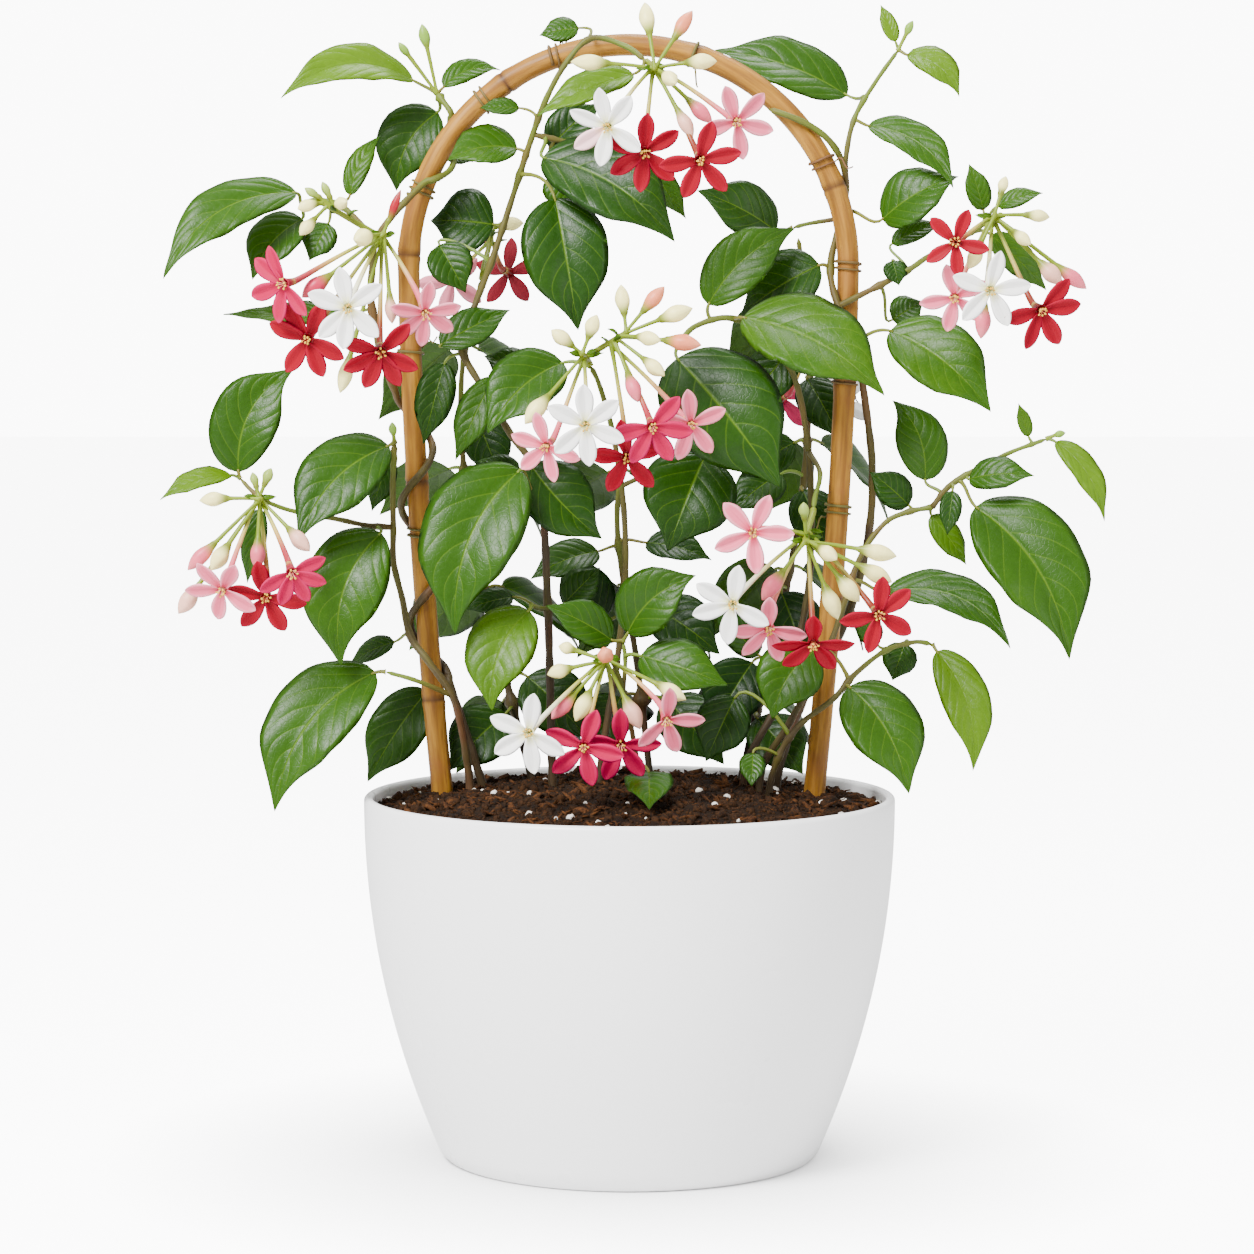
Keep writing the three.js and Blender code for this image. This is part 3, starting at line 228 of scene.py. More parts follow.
CALYX_REACH = 0.8
BRACTS = 5
BRACT_TURN = 2.4
BRACT_STEP = 2.2
BRACT_BELOW = 4
BRACT_LENGTH = (4.5, 8.5)
BRACT_WIDTH = 2.6
BRACT_BOW = 0.5
BRACT_TONE = 0.75
BRACT_OFFSET = 1.6

# Florets: a throat's outline is (radius, distance in front of the petals' plane), a petal's (share of
# the radius, half width as a share of it), and an anther's (distance across, radius).
THROAT_LENGTH = 8.0
THROAT_SIDES = 15
THROAT_OUTSIDE = 4
THROAT_SLOT = 1
THROAT_OUTLINE = ((1.75, -8), (1.85, -6.5), (1.95, -5), (2.2, -3), (2.7, -0.9), (2.9, -0.1), (2.6, 0.25),
                  (1.9, -0.5), (1.2, -2), (0.6, -3.4), (0, -3.8))
TUBE_BEND = 7.0
TUBE_POINTS = 26
TUBE_RADIUS = 0.85
TUBE_GROWTH = 0.9
TUBE_FOOT = 0.5
TUBE_FOOT_SHARE = 1 / 9
TUBE_SIDES = 8
PETAL_CUP = 1.6
PETAL_ROWS = 15
PETAL_COLUMNS = 9
PETAL_THICKNESS = 0.5
PETAL_START = 0.1
PETAL_OUTLINE = ((0.1, 0.085), (0.2, 0.125), (0.35, 0.18), (0.5, 0.212), (0.62, 0.22), (0.75, 0.2),
                 (0.86, 0.15), (0.94, 0.09), (1, 0.015))
PETAL_WIDTH = (0.96, 0.08)
PETAL_LIFT = (-0.15, 0.25)
PETAL_LIFT_SPAN = (0.15, 0.5)
PETAL_TIP_FALL = 1.1
PETAL_TWIST = (0.32, 0.25)
PETAL_SWERVE = 0.1
PETAL_TROUGH = 0.20
PETAL_RIDGE = 0.10
PETAL_RIPPLE = 0.10
STAMENS = 8
STAMEN_SLOT = 2
STAMEN_LENGTH = 3.4
STAMEN_ROOT = 2.5
STAMEN_LEAN = (1.0, 1.5)
SHORT_STAMEN = 0.7
FILAMENT_RADIUS = 0.2
FILAMENT_SIDES = 4
FILAMENT_POINTS = 5
ANTHER_OUTLINE = ((-0.55, 0.08), (-0.45, 0.42), (0, 0.5), (0.45, 0.42), (0.55, 0.08))
ANTHER_SIDES = 6

# Seeds of the random draws
VINE_SEED = 100
CLUSTER_SEED = 300
FLORET_SEED = 1000
FLORET_SEED_STEP = 10

# Stage, in metres: a lamp is (place, what it looks at, width, power)
FLOOR_SIZE = 30.0
FLOOR_WHITE = (0.88, 0.88, 0.88)
FLOOR_GLOW = 8.0
CONTACT_REACH = 0.16
CONTACT_DEPTH = 2.6
WORLD_LIGHT = 1.15
BACKDROP_LIGHT = 10.5
LAMPS = {
    "key": ((-0.9, -1.3, 1.7), (0, 0, 0.3), 0.9, 138.0),
    "fill": ((1.5, -1.1, 0.9), (0, 0, 0.25), 1.2, 12.0),
    "top": ((0.2, 0.5, 1.9), (0, 0, 0.3), 0.8, 28.0),
}

# A stem is (root radius, tip radius, points); "twine" winds it round the hoop between two distances
# along it and two angles. A leaf is (base, tip, width, bow, swerve, lift, tone), from dark at tone 0
# to young at 1; low tones also paint the shade on leaves deep in the foliage. A bud is (root, tip,
# length, width).
VINES = [
    {"name": "vine_left_high",
     "stems": [
         (2.2, 1.5, [
             (-66, 20, 150), (-69, 20, 168), (-76, 17, 192), ("twine", 165, 306, -90, -990),
             (-118, 6, 382), (-123, 4, 409), (-122, 0, 424), (-120, -5, 437), (-112, -6, 449),
             ("twine", 405, 440, 0, -240), (-92, 22, 508),
         ]),
         (1.5, 1.2, [
             (-120, -5, 437), (-134, 0, 452), (-147, 4, 457), (-155, 3, 455),
         ]),
     ],
     "leaves": [
         ((-103, 18, 514), (-164, -10, 504), 22, 9, -8, 30, 0.9),
         ((-89, 20, 511), (-62, 28, 520), 13, 2, 4, 30, 0.5),
         ((-92, 31, 500), (-112, 27, 462), 32, 4, -5, 25, 0.35),
         ((-133, 8, 459), (-119, 18, 488), 12, 2, 2.5, 20, 0.5),
         ((-88, 27, 480), (-75, 26, 476), 11, 1, 0, 30, 0.4),
         ((-157, -6, 460), (-217, -35, 419), 27, 8, -9.5, 28, 0.45),
         ((-155, 2, 448), (-178, -10, 419), 26, 3, -3, 35, 0.4),
         ((-143, 5, 446), (-152, 0, 428), 17, 1, 0, 30, 0.3),
         ((-130, 15, 404), (-194, 10, 403), 14, 2, 2.5, 42, 0.5),
         ((-98, 28, 221), (-127, 22, 177), 29, 3, -1, 25, 0.3),
     ],
     "buds": [
         ((-92, 22, 508), (-99, 18, 541), 12, 5.5),
         ((-92, 22, 508), (-110, 14, 532), 9, 4),
     ]},
    {"name": "vine_left_low",
     "stems": [
         (2.1, 1.4, [
             (-76, 0, 150), (-77, -1, 184), (-83, -12, 219), (-95, -14, 238), (-104, -10, 250),
             (-108, -8, 268), (-112, -8, 285), (-112, -10, 302), (-112, -12, 323), (-111, -14, 342),
         ]),
         (1.4, 1.1, [
             (-112, -10, 302), (-124, -13, 303), (-138, -14, 306), (-159, -16, 310), (-170, -19, 314),
             (-173, -24, 316),
         ]),
         (1.2, 1, [
             (-170, -19, 314), (-178, -14, 319), (-184, -12, 325),
         ]),
         (1.3, 1, [
             (-84, -12, 222), (-101, -20, 230), (-115, -20, 234),
         ]),
     ],
     "leaves": [
         ((-185, -12, 328), (-159, -5, 377), 33, 4, 8, 20, 0.4),
         ((-188, -15, 327), (-220, -30, 316), 14, 4, 0, 50, 0.85),
         ((-113, -22, 341), (-154, -45, 297), 36, 5, -6, 35, 0.4),
         ((-114, 0, 336), (-123, 2, 309), 14, 1, 0, 25, 0.3),
         ((-117, -20, 300), (-135, -35, 238), 39, 5, -8.5, 30, 0.45),
         ((-120, -20, 234), (-166, -44, 170.5), 41, 6, -10, 35, 0.5),
         ((-112, -2, 247), (-134, 4, 236), 14, 2, 0, 40, 0.3),
         ((-175, -8, 311), (-182, -5, 275), 12, 2, 0, 20, 0.35),
     ],
     "buds": [
         ((-111, -14, 342), (-112, -16, 352), 7, 4),
     ]},
    {"name": "vine_inner_left",
     "stems": [
         (2.1, 1.3, [
             (-36, -5, 150), (-37, -5, 187), (-39, -5, 266), (-43, -8, 323), (-57, -5, 347),
             (-70, 0, 368), (-80, 5, 388), (-73, 8, 409), (-66, 8, 427), (-56, 6, 457), (-48, 0, 481),
             (-40, -8, 502), (-30, -10, 520), (-18, -9, 532), (-2, -12, 528), (7, -20, 521),
         ]),
         (1.2, 1, [
             (-44, -4, 486), (-20, 2, 482), (2, 10, 478),
         ]),
         (1.2, 1, [
             (-40, -6, 300), (-46, -18, 318), (-50, -26, 330),
         ]),
         (1.1, 1, [
             (-39, -5, 262), (-43, -18, 264), (-46, -28, 266),
         ]),
     ],
     "leaves": [
         ((-53, 4, 481), (-86, -5, 475), 25, 2, -3, 35, 0.45),
         ((-52, 1, 500), (-71, 0, 500), 10, 1, 0, 30, 0.4),
         ((-65, 25, 446), (-96, 30, 448), 33, 2, 0, 20, 0.15),
         ((-91, 12, 436), (-78, 6, 413), 22, 2, 0, 20, 0.15),
         ((-90, -2, 388), (-57, 10, 405), 20, 2, 0, 30, 0.3),
         ((-88, 4, 380), (-98, -2, 341), 19, 2, 0, 25, 0.15),
         ((-46, 18, 373), (-70, 22, 383), 19, 2, 0, 25, 0.25),
         ((-64, -10, 373), (-82, -20, 334), 19, 3, 0, 30, 0.4),
         ((-51, -28, 330), (-81, -50, 254), 48, 7, -9, 30, 0.45),
         ((-47, -12, 332), (-13, -18, 297), 34, 3, -3, 25, 0.15),
         ((-52, 2, 329), (-73, 6, 333), 11, 1, 0, 25, 0.25),
         ((-35, -18, 457), (-24, -30, 395), 41, 5, 0, 25, 0.25),
         ((2, -26, 514), (-43, -34, 494), 18, 4, 0, 35, 0.85),
         ((-24, 12, 538.5), (-43, 12, 535), 14, 1, 0, 30, 0.4),
         ((-41, -12, 476), (21, -35, 436), 41, 6, 5, 35, 0.2),
         ((-38, 4, 481), (-14, 8, 503), 22, 3, 0, 25, 0.15),
         ((-33, 14, 472), (-24, 10, 452), 26, 2, 0, 20, 0.5),
         ((8, 12, 474), (27, 8, 448), 14, 2, 0, 20, 0.6),
         ((-47, -30, 264), (-64, -48, 218), 33, 4, -6, 30, 0.65),
         ((-55, -10, 269), (-78, -14, 263), 13, 2, 0, 30, 0.15),
         ((-31, 5, 265), (-14, 7, 282), 19, 1, 0, 25, 0.15),
     ]},
    {"name": "vine_centre",
     "stems": [
         (1.9, 1.2, [
             (-14, -2, 150), (-14, -2, 185), (-6, 0, 237), (-2, 0, 275), (-3, -5, 314), (-8, -10, 347),
             (-14, -25, 369), (-18, -32, 378),
         ]),
         (1.2, 1, [
             (-3, -6, 321), (15, -3, 330), (29, 0, 337),
         ]),
     ],
     "leaves": [
         ((-31, -28, 380), (-66, -45, 347), 33, 5, -3, 35, 0.4),
         ((36, -3, 336), (18, -18, 291), 45, 5, 0, 25, 0.15),
     ]},
    {"name": "vine_inner_right",
     "stems": [
         (2, 1.3, [
             (54, 6, 150), (56, 6, 186), (74, 10, 222), (85, 11, 265), (87, 9, 304), (85, 6, 342),
             (77, 0, 376), (60, -8, 395), (46, -13, 401), (31, -14, 397), (24, -18, 390),
         ]),
         (1.3, 1.1, [
             (85, 5, 337), (90, -14, 328), (87, -28, 317), (86, -34, 312),
         ]),
     ],
     "leaves": [
         ((37, -16, 407), (78, -12, 443), 28, 4, 4, 25, 0.4),
         ((53, -20, 401), (118, -48, 365), 45, 6, 4, 40, 0.6),
         ((22, -25, 382), (70, -45, 322), 55, 6, 0, 30, 0.2),
         ((77, 10, 386), (56, 14, 359), 26, 2, 0, 25, 0.2),
         ((79, 7, 342), (53, 12, 325), 22, 2, 0, 25, 0.15),
         ((62, 4, 240), (40, 0, 262), 17, 1, 0, 25, 0.3),
     ]},
    {"name": "vine_right_high",
     "stems": [
         (2.2, 1.5, [
             (70, 14, 150), (72, 14, 183), (84, 18, 217), (104, 16, 255), (114, 10, 294),
             (116, 6, 330), ("twine", 748, 606, 90, -400),
         ]),
         (1.4, 1, [
             (100, -8, 460), (102, -9, 477), (106, -9, 495), (116, -9, 512), (126, -10, 526),
         ]),
         (1.2, 1, [
             (94, 6, 450), (86, 9, 446), (78, 9, 444),
         ]),
         (1.6, 1.1, [
             (113, -2, 410), (129, -9, 422), (141, -13, 430), (156, -18, 438), (165, -26, 444),
         ]),
     ],
     "leaves": [
         ((70, 8, 442), (32, -5, 461), 29, 4, 0, 25, 0.2),
         ((90, -6, 426), (53, 4, 402), 34, 4, 0, 30, 0.2),
         ((123, -10, 395), (169, -30, 357), 36, 5, 2.5, 35, 0.45),
         ((125, 5, 400), (140, 5, 409), 17, 1, 0, 25, 0.4),
         ((119, -12, 447), (154, -20, 467), 30, 5, 0, 35, 0.45),
         ((112, -10, 491), (151, -28, 461), 20, 3, 7, 35, 0.5),
         ((104, 18, 507), (40, 28, 529), 31, 5, -2, 35, 0.4),
         ((130, -12, 524), (154, -22, 504), 17, 3, 4, 35, 0.9),
         ((125, -10, 530), (118, -6, 548), 8, 1, 0, 20, 0.9),
         ((124, -2, 436), (148, -2, 446), 12, 2, 0, 35, 0.5),
         ((124, -8, 428), (127, -12, 416), 12, 1, 0, 25, 0.2),
         ((166, -18, 451), (159, -18, 473), 12, 2, 0, 20, 0.5),
         ((172, -22, 453), (193, -26, 459), 11, 2, 0, 35, 0.5),
         ((170, -12, 440), (197, -8, 414), 17, 2, 0, 25, 0.6),
     ],
     "buds": [
         ((126, -10, 526), (133, -11, 540), 8, 4),
     ]},
    {"name": "vine_right_mid",
     "stems": [
         (1.9, 1.2, [
             (62, -6, 150), (63, -6, 185), (76, -12, 209), (95, -16, 247), (108, -12, 285),
             (120, -10, 303), (131, -10, 309), (145, -12, 312),
         ]),
         (1.3, 1, [
             (143, -12, 312), (153, -13, 323), (176, -16, 336), (196, -20, 344),
         ]),
     ],
     "leaves": [
         ((122, -8, 271), (179, -30, 246), 24, 5, 11, 40, 0.4),
         ((163, -18, 312), (205, -45, 242), 47, 6, 8, 35, 0.5),
         ((160, -16, 325), (190, -26, 327), 18, 3, 0, 35, 0.4),
         ((152, -22, 320), (149, -28, 299), 11, 1, 0, 25, 0.2),
         ((143, -8, 308), (160, -8, 284), 14, 2, 0, 25, 0.6),
         ((140, -8, 324), (125, 0, 362), 25, 3, -5, 20, 0.4),
         ((133, -4, 312), (114, -4, 328), 18, 2, 0, 25, 0.2),
         ((200, -22, 343), (222, -35, 306), 14, 3, 4, 35, 0.85),
         ((188, -18, 345), (183, -18, 361), 7, 1, 0, 20, 0.6),
     ],
     "buds": [
         ((196, -20, 344), (205, -22, 347), 6, 3.5),
     ]},
    {"name": "vine_right_low",
     "stems": [
         (1.8, 1.1, [
             (66, -20, 150), (67, -20, 183), (78, -26, 207), (96, -28, 222), (106, -24, 233),
             (121, -18, 244), (135, -17, 248), (143, -18, 247),
         ]),
     ],
     "leaves": [
         ((88, -26, 245), (67, -36, 213), 32, 3, -4, 30, 0.4),
         ((50, -18, 222), (36, -25, 192), 26, 2, 0, 25, 0.15),
         ((58, -32, 197), (57, -42, 182), 13, 1, 0, 40, 0.4),
         ((103, -29, 228), (130, -52, 180), 37, 5, 4, 35, 0.45),
         ((145, -20, 244), (161, -38, 189), 23, 4, 6, 30, 0.7),
         ((131, -8, 247), (125, -10, 229), 17, 1, 0, 25, 0.3),
         ((118, -6, 246), (108, -6, 262), 13, 1, 0, 25, 0.25),
     ]},
    {"name": "vine_bottom",
     "stems": [
         (1.5, 1.1, [
             (5, -24, 150), (4, -24, 186), (-1, -30, 218), (-6, -36, 236), (-9, -40, 241),
         ]),
         (1.1, 0.9, [
             (-3, -32, 226), (-2, -31, 240), (-3, -31, 249),
         ]),
     ],
     "leaves": [
         ((-1, -33, 253), (31, -40, 281), 30, 4, 4, 25, 0.4),
         ((-8, -34, 250), (-39, -42, 267), 22, 3, 0, 30, 0.4),
         ((5, -36, 243), (46, -48, 230), 29, 4, -1, 35, 0.45),
         ((9, -42, 189), (9, -88, 177), 23, 2, 0, 45, 0.4),
     ]},
]


# Vines behind the hoop, leafed by rule as the solids are, with low leaves given one by one
# Back leaves take low tones, lowest near the root: painted shade for foliage deep behind the hoop.
BACK_VINES = [
    {"name": "vine_back_left", "seed": 11, "pairs": 4, "from": 0.22,
     "path": [(-44, 42, 150), (-46, 42, 168), (-62, 50, 230), (-78, 52, 300), (-82, 46, 370),
              (-72, 44, 420)],
     "low": [
         ((-50, 38, 227), (-20, 28, 197), 33, 4, 0, 30, 0.1),
         ((-60, 38, 209), (-88, 24, 182), 31, 4, 0, 30, 0.2),
         ((-76, 40, 356), (-62, 32, 322), 24, 3, 0, 30, 0.2),
     ]},
    {"name": "vine_back_centre", "seed": 53, "pairs": 3, "from": 0.3,
     "path": [(12, 46, 150), (11, 46, 168), (4, 52, 230), (-6, 48, 300), (0, 44, 350)],
     "low": [
         ((-15, 40, 288), (-48, 30, 275), 22, 4, 0, 40, 0.25),
         ((-12, 58, 254), (-34, 62, 282), 27, 3, 0, 20, 0.05),
         ((8, 44, 292), (40, 36, 284), 20, 3, 0, 40, 0.15),
         ((12, 46, 260), (44, 34, 238), 30, 4, 0, 30, 0.1),
         ((-4, 48, 216), (-22, 42, 187), 26, 3, 0, 30, 0.15),
         ((18, 42, 215), (46, 26, 185), 31, 3, 0, 30, 0.1),
     ]},
    {"name": "vine_back_right", "seed": 37, "pairs": 4, "from": 0.22,
     "path": [(52, 46, 150), (53, 46, 168), (68, 50, 230), (84, 50, 310), (88, 46, 390),
              (82, 44, 440)],
     "low": [
         ((74, 40, 326), (50, 32, 308), 24, 3, 0, 35, 0.2),
         ((74, 38, 268), (86, 26, 232), 30, 4, 0, 25, 0.15),
         ((60, 38, 234), (40, 29, 201), 31, 4, 0, 30, 0.1),
         ((62, 34, 207), (84, 18, 181), 29, 3, 0, 35, 0.2),
         ((86, 40, 372), (102, 26, 342), 24, 3, 0, 30, 0.2),
         ((84, 40, 318), (98, 28, 284), 25, 3, 0, 30, 0.15),
     ]},
]

# Back vines: a pair is (least, most), or from the root to the tip. Angles are degrees.
BACK_RADII = (1.9, 1.2)
BACK_TO = 0.86
BACK_PETIOLE = 10.0
BACK_LENGTH = (50, 66)
BACK_ASPECT = 0.53
BACK_SPREAD = (36, 68)
BACK_DROOP = (22, 46)
BACK_LIFT = 52
BACK_RISE = 0.4
BACK_BOW = 0.09
# Tones of the back leaves, from the root to the tip, kept low to paint their shade.
BACK_SHADED_TONE = (0.1, 0.4)

# A cluster hangs from a vine's stem. A floret is (centre, diameter, way it faces, petal angles,
# colour, head); a bud is (tip, length, width, head, colour).
CLUSTERS = [
    {"name": "top", "vine": "vine_inner_left", "stem": 0,
     "heads": [(11, -42, 516)],
     "florets": [
         ((-10, -72, 487), 37, (-0.15, -1, -0.35), (154, 98, 48, -36, -100, -147), "white", 0),
         ((7, -62, 476), 37, (0, -1, -0.3), (159, 89, 34, -44, -98, -149), "red", 0),
         ((32, -70, 472), 38, (0.1, -1, -0.35), (78, 13, -48, -110, -171), "red", 0),
         ((49, -60, 490), 36, (0.3, -1, -0.25), (114, 49, -15, -79, -164), "pink", 0),
     ],
     "buds": [
         ((7, -38, 546), 16, 7.4, 0, "cream"), ((29, -40, 542), 16, 6.7, 0, "salmon"),
         ((-27, -48, 518), 17, 7.5, 0, "cream"), ((40, -52, 518), 14, 7.5, 0, "cream"),
         ((21, -64, 507), 12, 7, 0, "cream"), ((38, -50, 490), 15, 7, 0, "pink"),
         ((29, -55, 483), 15, 6.5, 0, "blush"),
     ]},
    {"name": "left_high", "vine": "vine_left_high", "point": (-120, -5, 437),
     "heads": [(-115, -34, 439), (-136, -31, 450)],
     "florets": [
         ((-158, -68, 416), 37, (-0.5, -1, -0.15), (144, 107, -53, -104, -160), "rose", 0),
         ((-128, -78, 405), 38, (0, -1, -0.2), (161, 98, 36, -43, -96, -133), "white", 0),
         ((-148, -58, 391), 38, (-0.15, -1, -0.25), (157, 119, 61, -27, -73, -124), "red", 0),
         ((-114, -66, 385), 38, (0.1, -1, -0.4), (160, 46, -26, -60, -110, -152), "red", 0),
         ((-94, -58, 403), 34, (0.25, -1, -0.6), (171, 90, 13, -33, -91, -135), "pink", 0),
     ],
     "buds": [
         ((-151, -52, 410), 16, 8, 0, "rose"), ((-110, -44, 398), 13, 6, 0, "blush"),
         ((-154, -38, 451), 10, 6, 1, "cream"), ((-153, -38, 439), 10, 6, 1, "cream"),
         ((-131, -44, 454), 10, 6, 1, "cream"), ((-126, -58, 436), 12, 8.5, 0, "cream"),
         ((-134, -48, 366), 17, 7, 0, "cream"), ((-106, -38, 460), 16, 4, 0, "red"),
         ((-143, -32, 464), 8, 4, 1, "green"), ((-151, -34, 461), 8, 4, 1, "green"),
     ]},
    {"name": "centre", "vine": "vine_centre", "stem": 0,
     "heads": [(-21, -50, 383), (-8, -50, 390)],
     "florets": [
         ((-20, -88, 352), 38, (-0.05, -1, -0.2), (150, 91, 37, -25, -84, -135), "white", 0),
         ((10, -80, 351), 38, (0.1, -1, -0.35), (50, -4, -61, -116, -169), "rose", 1),
         ((-1, -70, 337), 37, (0, -1, -0.3), (174, 100, 20, -50, -120), "red", 1),
         ((28, -68, 352), 35, (0.3, -1, -0.3), (23, -50, -105, 170, 100), "pink", 1),
         ((-38, -74, 342), 34, (-0.3, -1, -0.3), (100, 160, -140, -80, -20), "pink", 0),
     ],
     "buds": [
         ((-4, -48, 416), 14, 7, 1, "cream"), ((16, -52, 415), 15, 7, 1, "salmon"),
         ((29, -56, 405), 16, 8, 1, "cream"), ((-15, -58, 402), 11, 7, 0, "cream"),
         ((-36, -58, 395), 12, 7, 0, "cream"), ((14, -66, 390), 13, 7, 1, "cream"),
         ((33, -60, 388), 17, 8, 1, "salmon"), ((16, -64, 374), 13, 7, 1, "cream"),
         ((4, -66, 362), 15, 7, 1, "pink"), ((-48, -66, 352), 17, 8, 0, "cream"),
     ]},
    {"name": "right_high", "vine": "vine_right_high", "stem": 3,
     "heads": [(168, -42, 447)],
     "florets": [
         ((149, -64, 435), 32, (-0.2, -1, 0), (136, 69, -14, -86, -144), "red", 0),
         ((164, -76, 413), 37, (0, -1, -0.2), (160, 79, 7, -60, -135), "white", 0),
         ((188, -68, 404), 38, (0.3, -1, -0.3), (49, 9, -58, -112, -165), "red", 0),
         ((150, -53, 410), 34, (-0.2, -1, -0.4), (100, 30, -40, -104, -168), "pink", 0),
     ],
     "buds": [
         ((156, -54, 423), 13, 7, 0, "cream"), ((194, -46, 447), 11, 6, 0, "cream"),
         ((174, -42, 466), 9, 5, 0, "cream"), ((184, -58, 434), 10, 6, 0, "cream"),
         ((199, -54, 416), 14, 8, 0, "blush"), ((211, -48, 414), 16, 7, 0, "pink"),
         ((162, -52, 391), 16, 7.5, 0, "pink"),
     ]},
    {"name": "left_low", "vine": "vine_left_low", "stem": 1,
     "heads": [(-173, -37, 317)],
     "florets": [
         ((-155, -70, 284), 34, (0.25, -1, -0.5), (26, -18, -60, -104, -148), "rose", 0),
         ((-168, -58, 272), 38, (0, -1, -0.4), (166, 100, -7, -66, -128), "red", 0),
         ((-187, -68, 276), 36, (-0.2, -1, -0.7), (178, 120, 60, -39, -109), "pink", 0),
     ],
     "buds": [
         ((-200, -44, 316), 13, 7, 0, "cream"), ((-205, -50, 284), 17, 7, 0, "pink"),
         ((-194, -52, 284), 14, 8, 0, "cream"), ((-209, -54, 264), 15, 8, 0, "blush"),
         ((-173, -48, 284), 14, 7, 0, "pink"), ((-148, -54, 293), 15, 7.5, 0, "blush"),
         ((-176, -36, 329), 7, 4, 0, "green"), ((-167, -38, 331), 8, 5, 0, "green"),
     ]},
    {"name": "right_low", "vine": "vine_inner_right", "stem": 1,
     "heads": [(82, -54, 301)],
     "florets": [
         ((56, -84, 303), 38, (-0.1, -1, -0.1), (134, 68, 2, -85, -155), "pink", 0),
         ((47, -78, 270), 38, (-0.15, -1, -0.2), (147, 78, -32, -98, -163), "white", 0),
         ((64, -68, 258), 36, (0, -1, -0.55), (-13, -73, -133, -177, 90), "pink", 0),
         ((84, -78, 252), 38, (0, -1, -0.9), (90, -2, -56, -135, -176), "red", 0),
         ((114, -74, 265), 37, (0.2, -1, -0.25), (86, 40, -27, -104, -170), "red", 0),
     ],
     "buds": [
         ((61, -64, 271), 16, 8, 0, "pink"), ((123, -62, 291), 17, 8, 0, "cream"),
         ((121, -60, 279), 16, 8, 0, "cream"), ((95, -70, 290), 11, 7, 0, "cream"),
         ((96, -62, 262), 16, 8, 0, "cream"), ((106, -62, 270), 15, 8, 0, "cream"),
         ((80, -62, 316), 8, 5, 0, "green"),
     ]},
    {"name": "bottom", "vine": "vine_bottom", "stem": 0,
     "heads": [(-11, -51, 243)],
     "florets": [
         ((-46, -88, 212), 38, (-0.2, -1, -0.15), (155, 78, -31, -81, -149), "white", 0),
         ((-21, -82, 205), 38, (-0.05, -1, -0.2), (154, 73, -15, -78, -139), "rose", 0),
         ((-4, -63, 204), 38, (0.1, -1, -0.4), (172, 95, 1, -54, -113), "rose", 0),
         ((17, -78, 217), 36, (0.2, -1, -0.5), (90, 0, -70, -134), "pink", 0),
     ],
     "buds": [
         ((-33, -54, 249), 8, 6, 0, "cream"), ((-38, -58, 236), 11, 7, 0, "cream"),
         ((-11, -70, 247), 11, 7.5, 0, "salmon"), ((-36, -64, 216), 15, 7.5, 0, "pink"),
         ((-25, -64, 215), 15, 8, 0, "cream"), ((5, -62, 211), 16, 8, 0, "blush"),
         ((26, -64, 225), 15, 7.5, 0, "cream"),
     ]},
    {"name": "back_left", "vine": "vine_back_left", "stem": 0,
     "heads": [(-68, 60, 440)],
     "florets": [
         ((-60, 80, 424), 36, (0.3, 1, -0.2), (90, 18, -54, -126, 162), "red", 0),
         ((-88, 84, 420), 36, (-0.3, 1, -0.2), (70, -2, -74, -146, 142), "pink", 0),
     ],
     "buds": [
         ((-52, 66, 448), 12, 7, 0, "cream"), ((-73, 84, 440), 14, 7, 0, "pink"),
         ((-88, 68, 446), 12, 6, 0, "cream"),
     ]},
    {"name": "back_right", "vine": "vine_back_right", "point": (87, 46, 388),
     "heads": [(88, 62, 384)],
     "florets": [
         ((105, 90, 360), 36, (0.3, 1, -0.2), (60, -12, -84, -156, 132), "white", 0),
         ((76, 84, 362), 36, (-0.3, 1, -0.2), (90, 18, -54, -126, 162), "rose", 0),
     ],
     "buds": [
         ((72, 72, 386), 12, 7, 0, "cream"), ((92, 88, 374), 14, 7, 0, "pink"),
         ((106, 72, 388), 12, 6, 0, "cream"),
     ]},
]


# Colours, linear. A span is where along its piece a colour comes in.
PETALS = {
    "white": {"base": (0.70, 0.70, 0.34), "blade": (0.84, 0.83, 0.80), "edge": (0.88, 0.87, 0.85)},
    "pink": {"base": (0.50, 0.030, 0.075), "blade": (0.68, 0.120, 0.190), "edge": (0.78, 0.270, 0.340)},
    "rose": {"base": (0.24, 0.0, 0.020), "blade": (0.36, 0.0, 0.042), "edge": (0.42, 0.006, 0.070)},
    "red": {"base": (0.11, 0.0, 0.003), "blade": (0.22, 0.0, 0.009), "edge": (0.28, 0.0, 0.018)},
}
THROATS = {
    "white": (0.62, 0.62, 0.25), "pink": (0.78, 0.46, 0.25), "rose": (0.55, 0.05, 0.05),
    "red": (0.30, 0.005, 0.01),
}
FILAMENTS = {
    "white": (0.75, 0.72, 0.42), "pink": (0.80, 0.45, 0.30), "rose": (0.80, 0.30, 0.25),
    "red": (0.70, 0.18, 0.10),
}
BUDS = {
    "cream": (0.88, 0.80, 0.30), "salmon": (0.68, 0.19, 0.09), "blush": (0.72, 0.38, 0.28),
    "pink": (0.64, 0.10, 0.15), "rose": (0.48, 0.015, 0.06), "red": (0.28, 0.003, 0.012),
    "green": (0.24, 0.33, 0.05),
}
BUD_TIP_PALE = (0.20, 0.19, 0.12)
BUD_TIP_SHADE = 0.7
BUD_TIP_SHARE = 0.35
BUD_TIP_SPAN = (0.6, 1.0)
BUD_COLOUR_SPAN = (0.02, 0.4)
PETAL_SHADE = (0.95, 0.08)
BLUSH = (1.0, 0.62, 0.66)
BLUSHED_PETAL = ("top", 0, -147)
ANTHER = (0.62, 0.36, 0.04)
CALYX_BROWN = (0.10, 0.07, 0.012)
CALYX_SHARE = 0.45
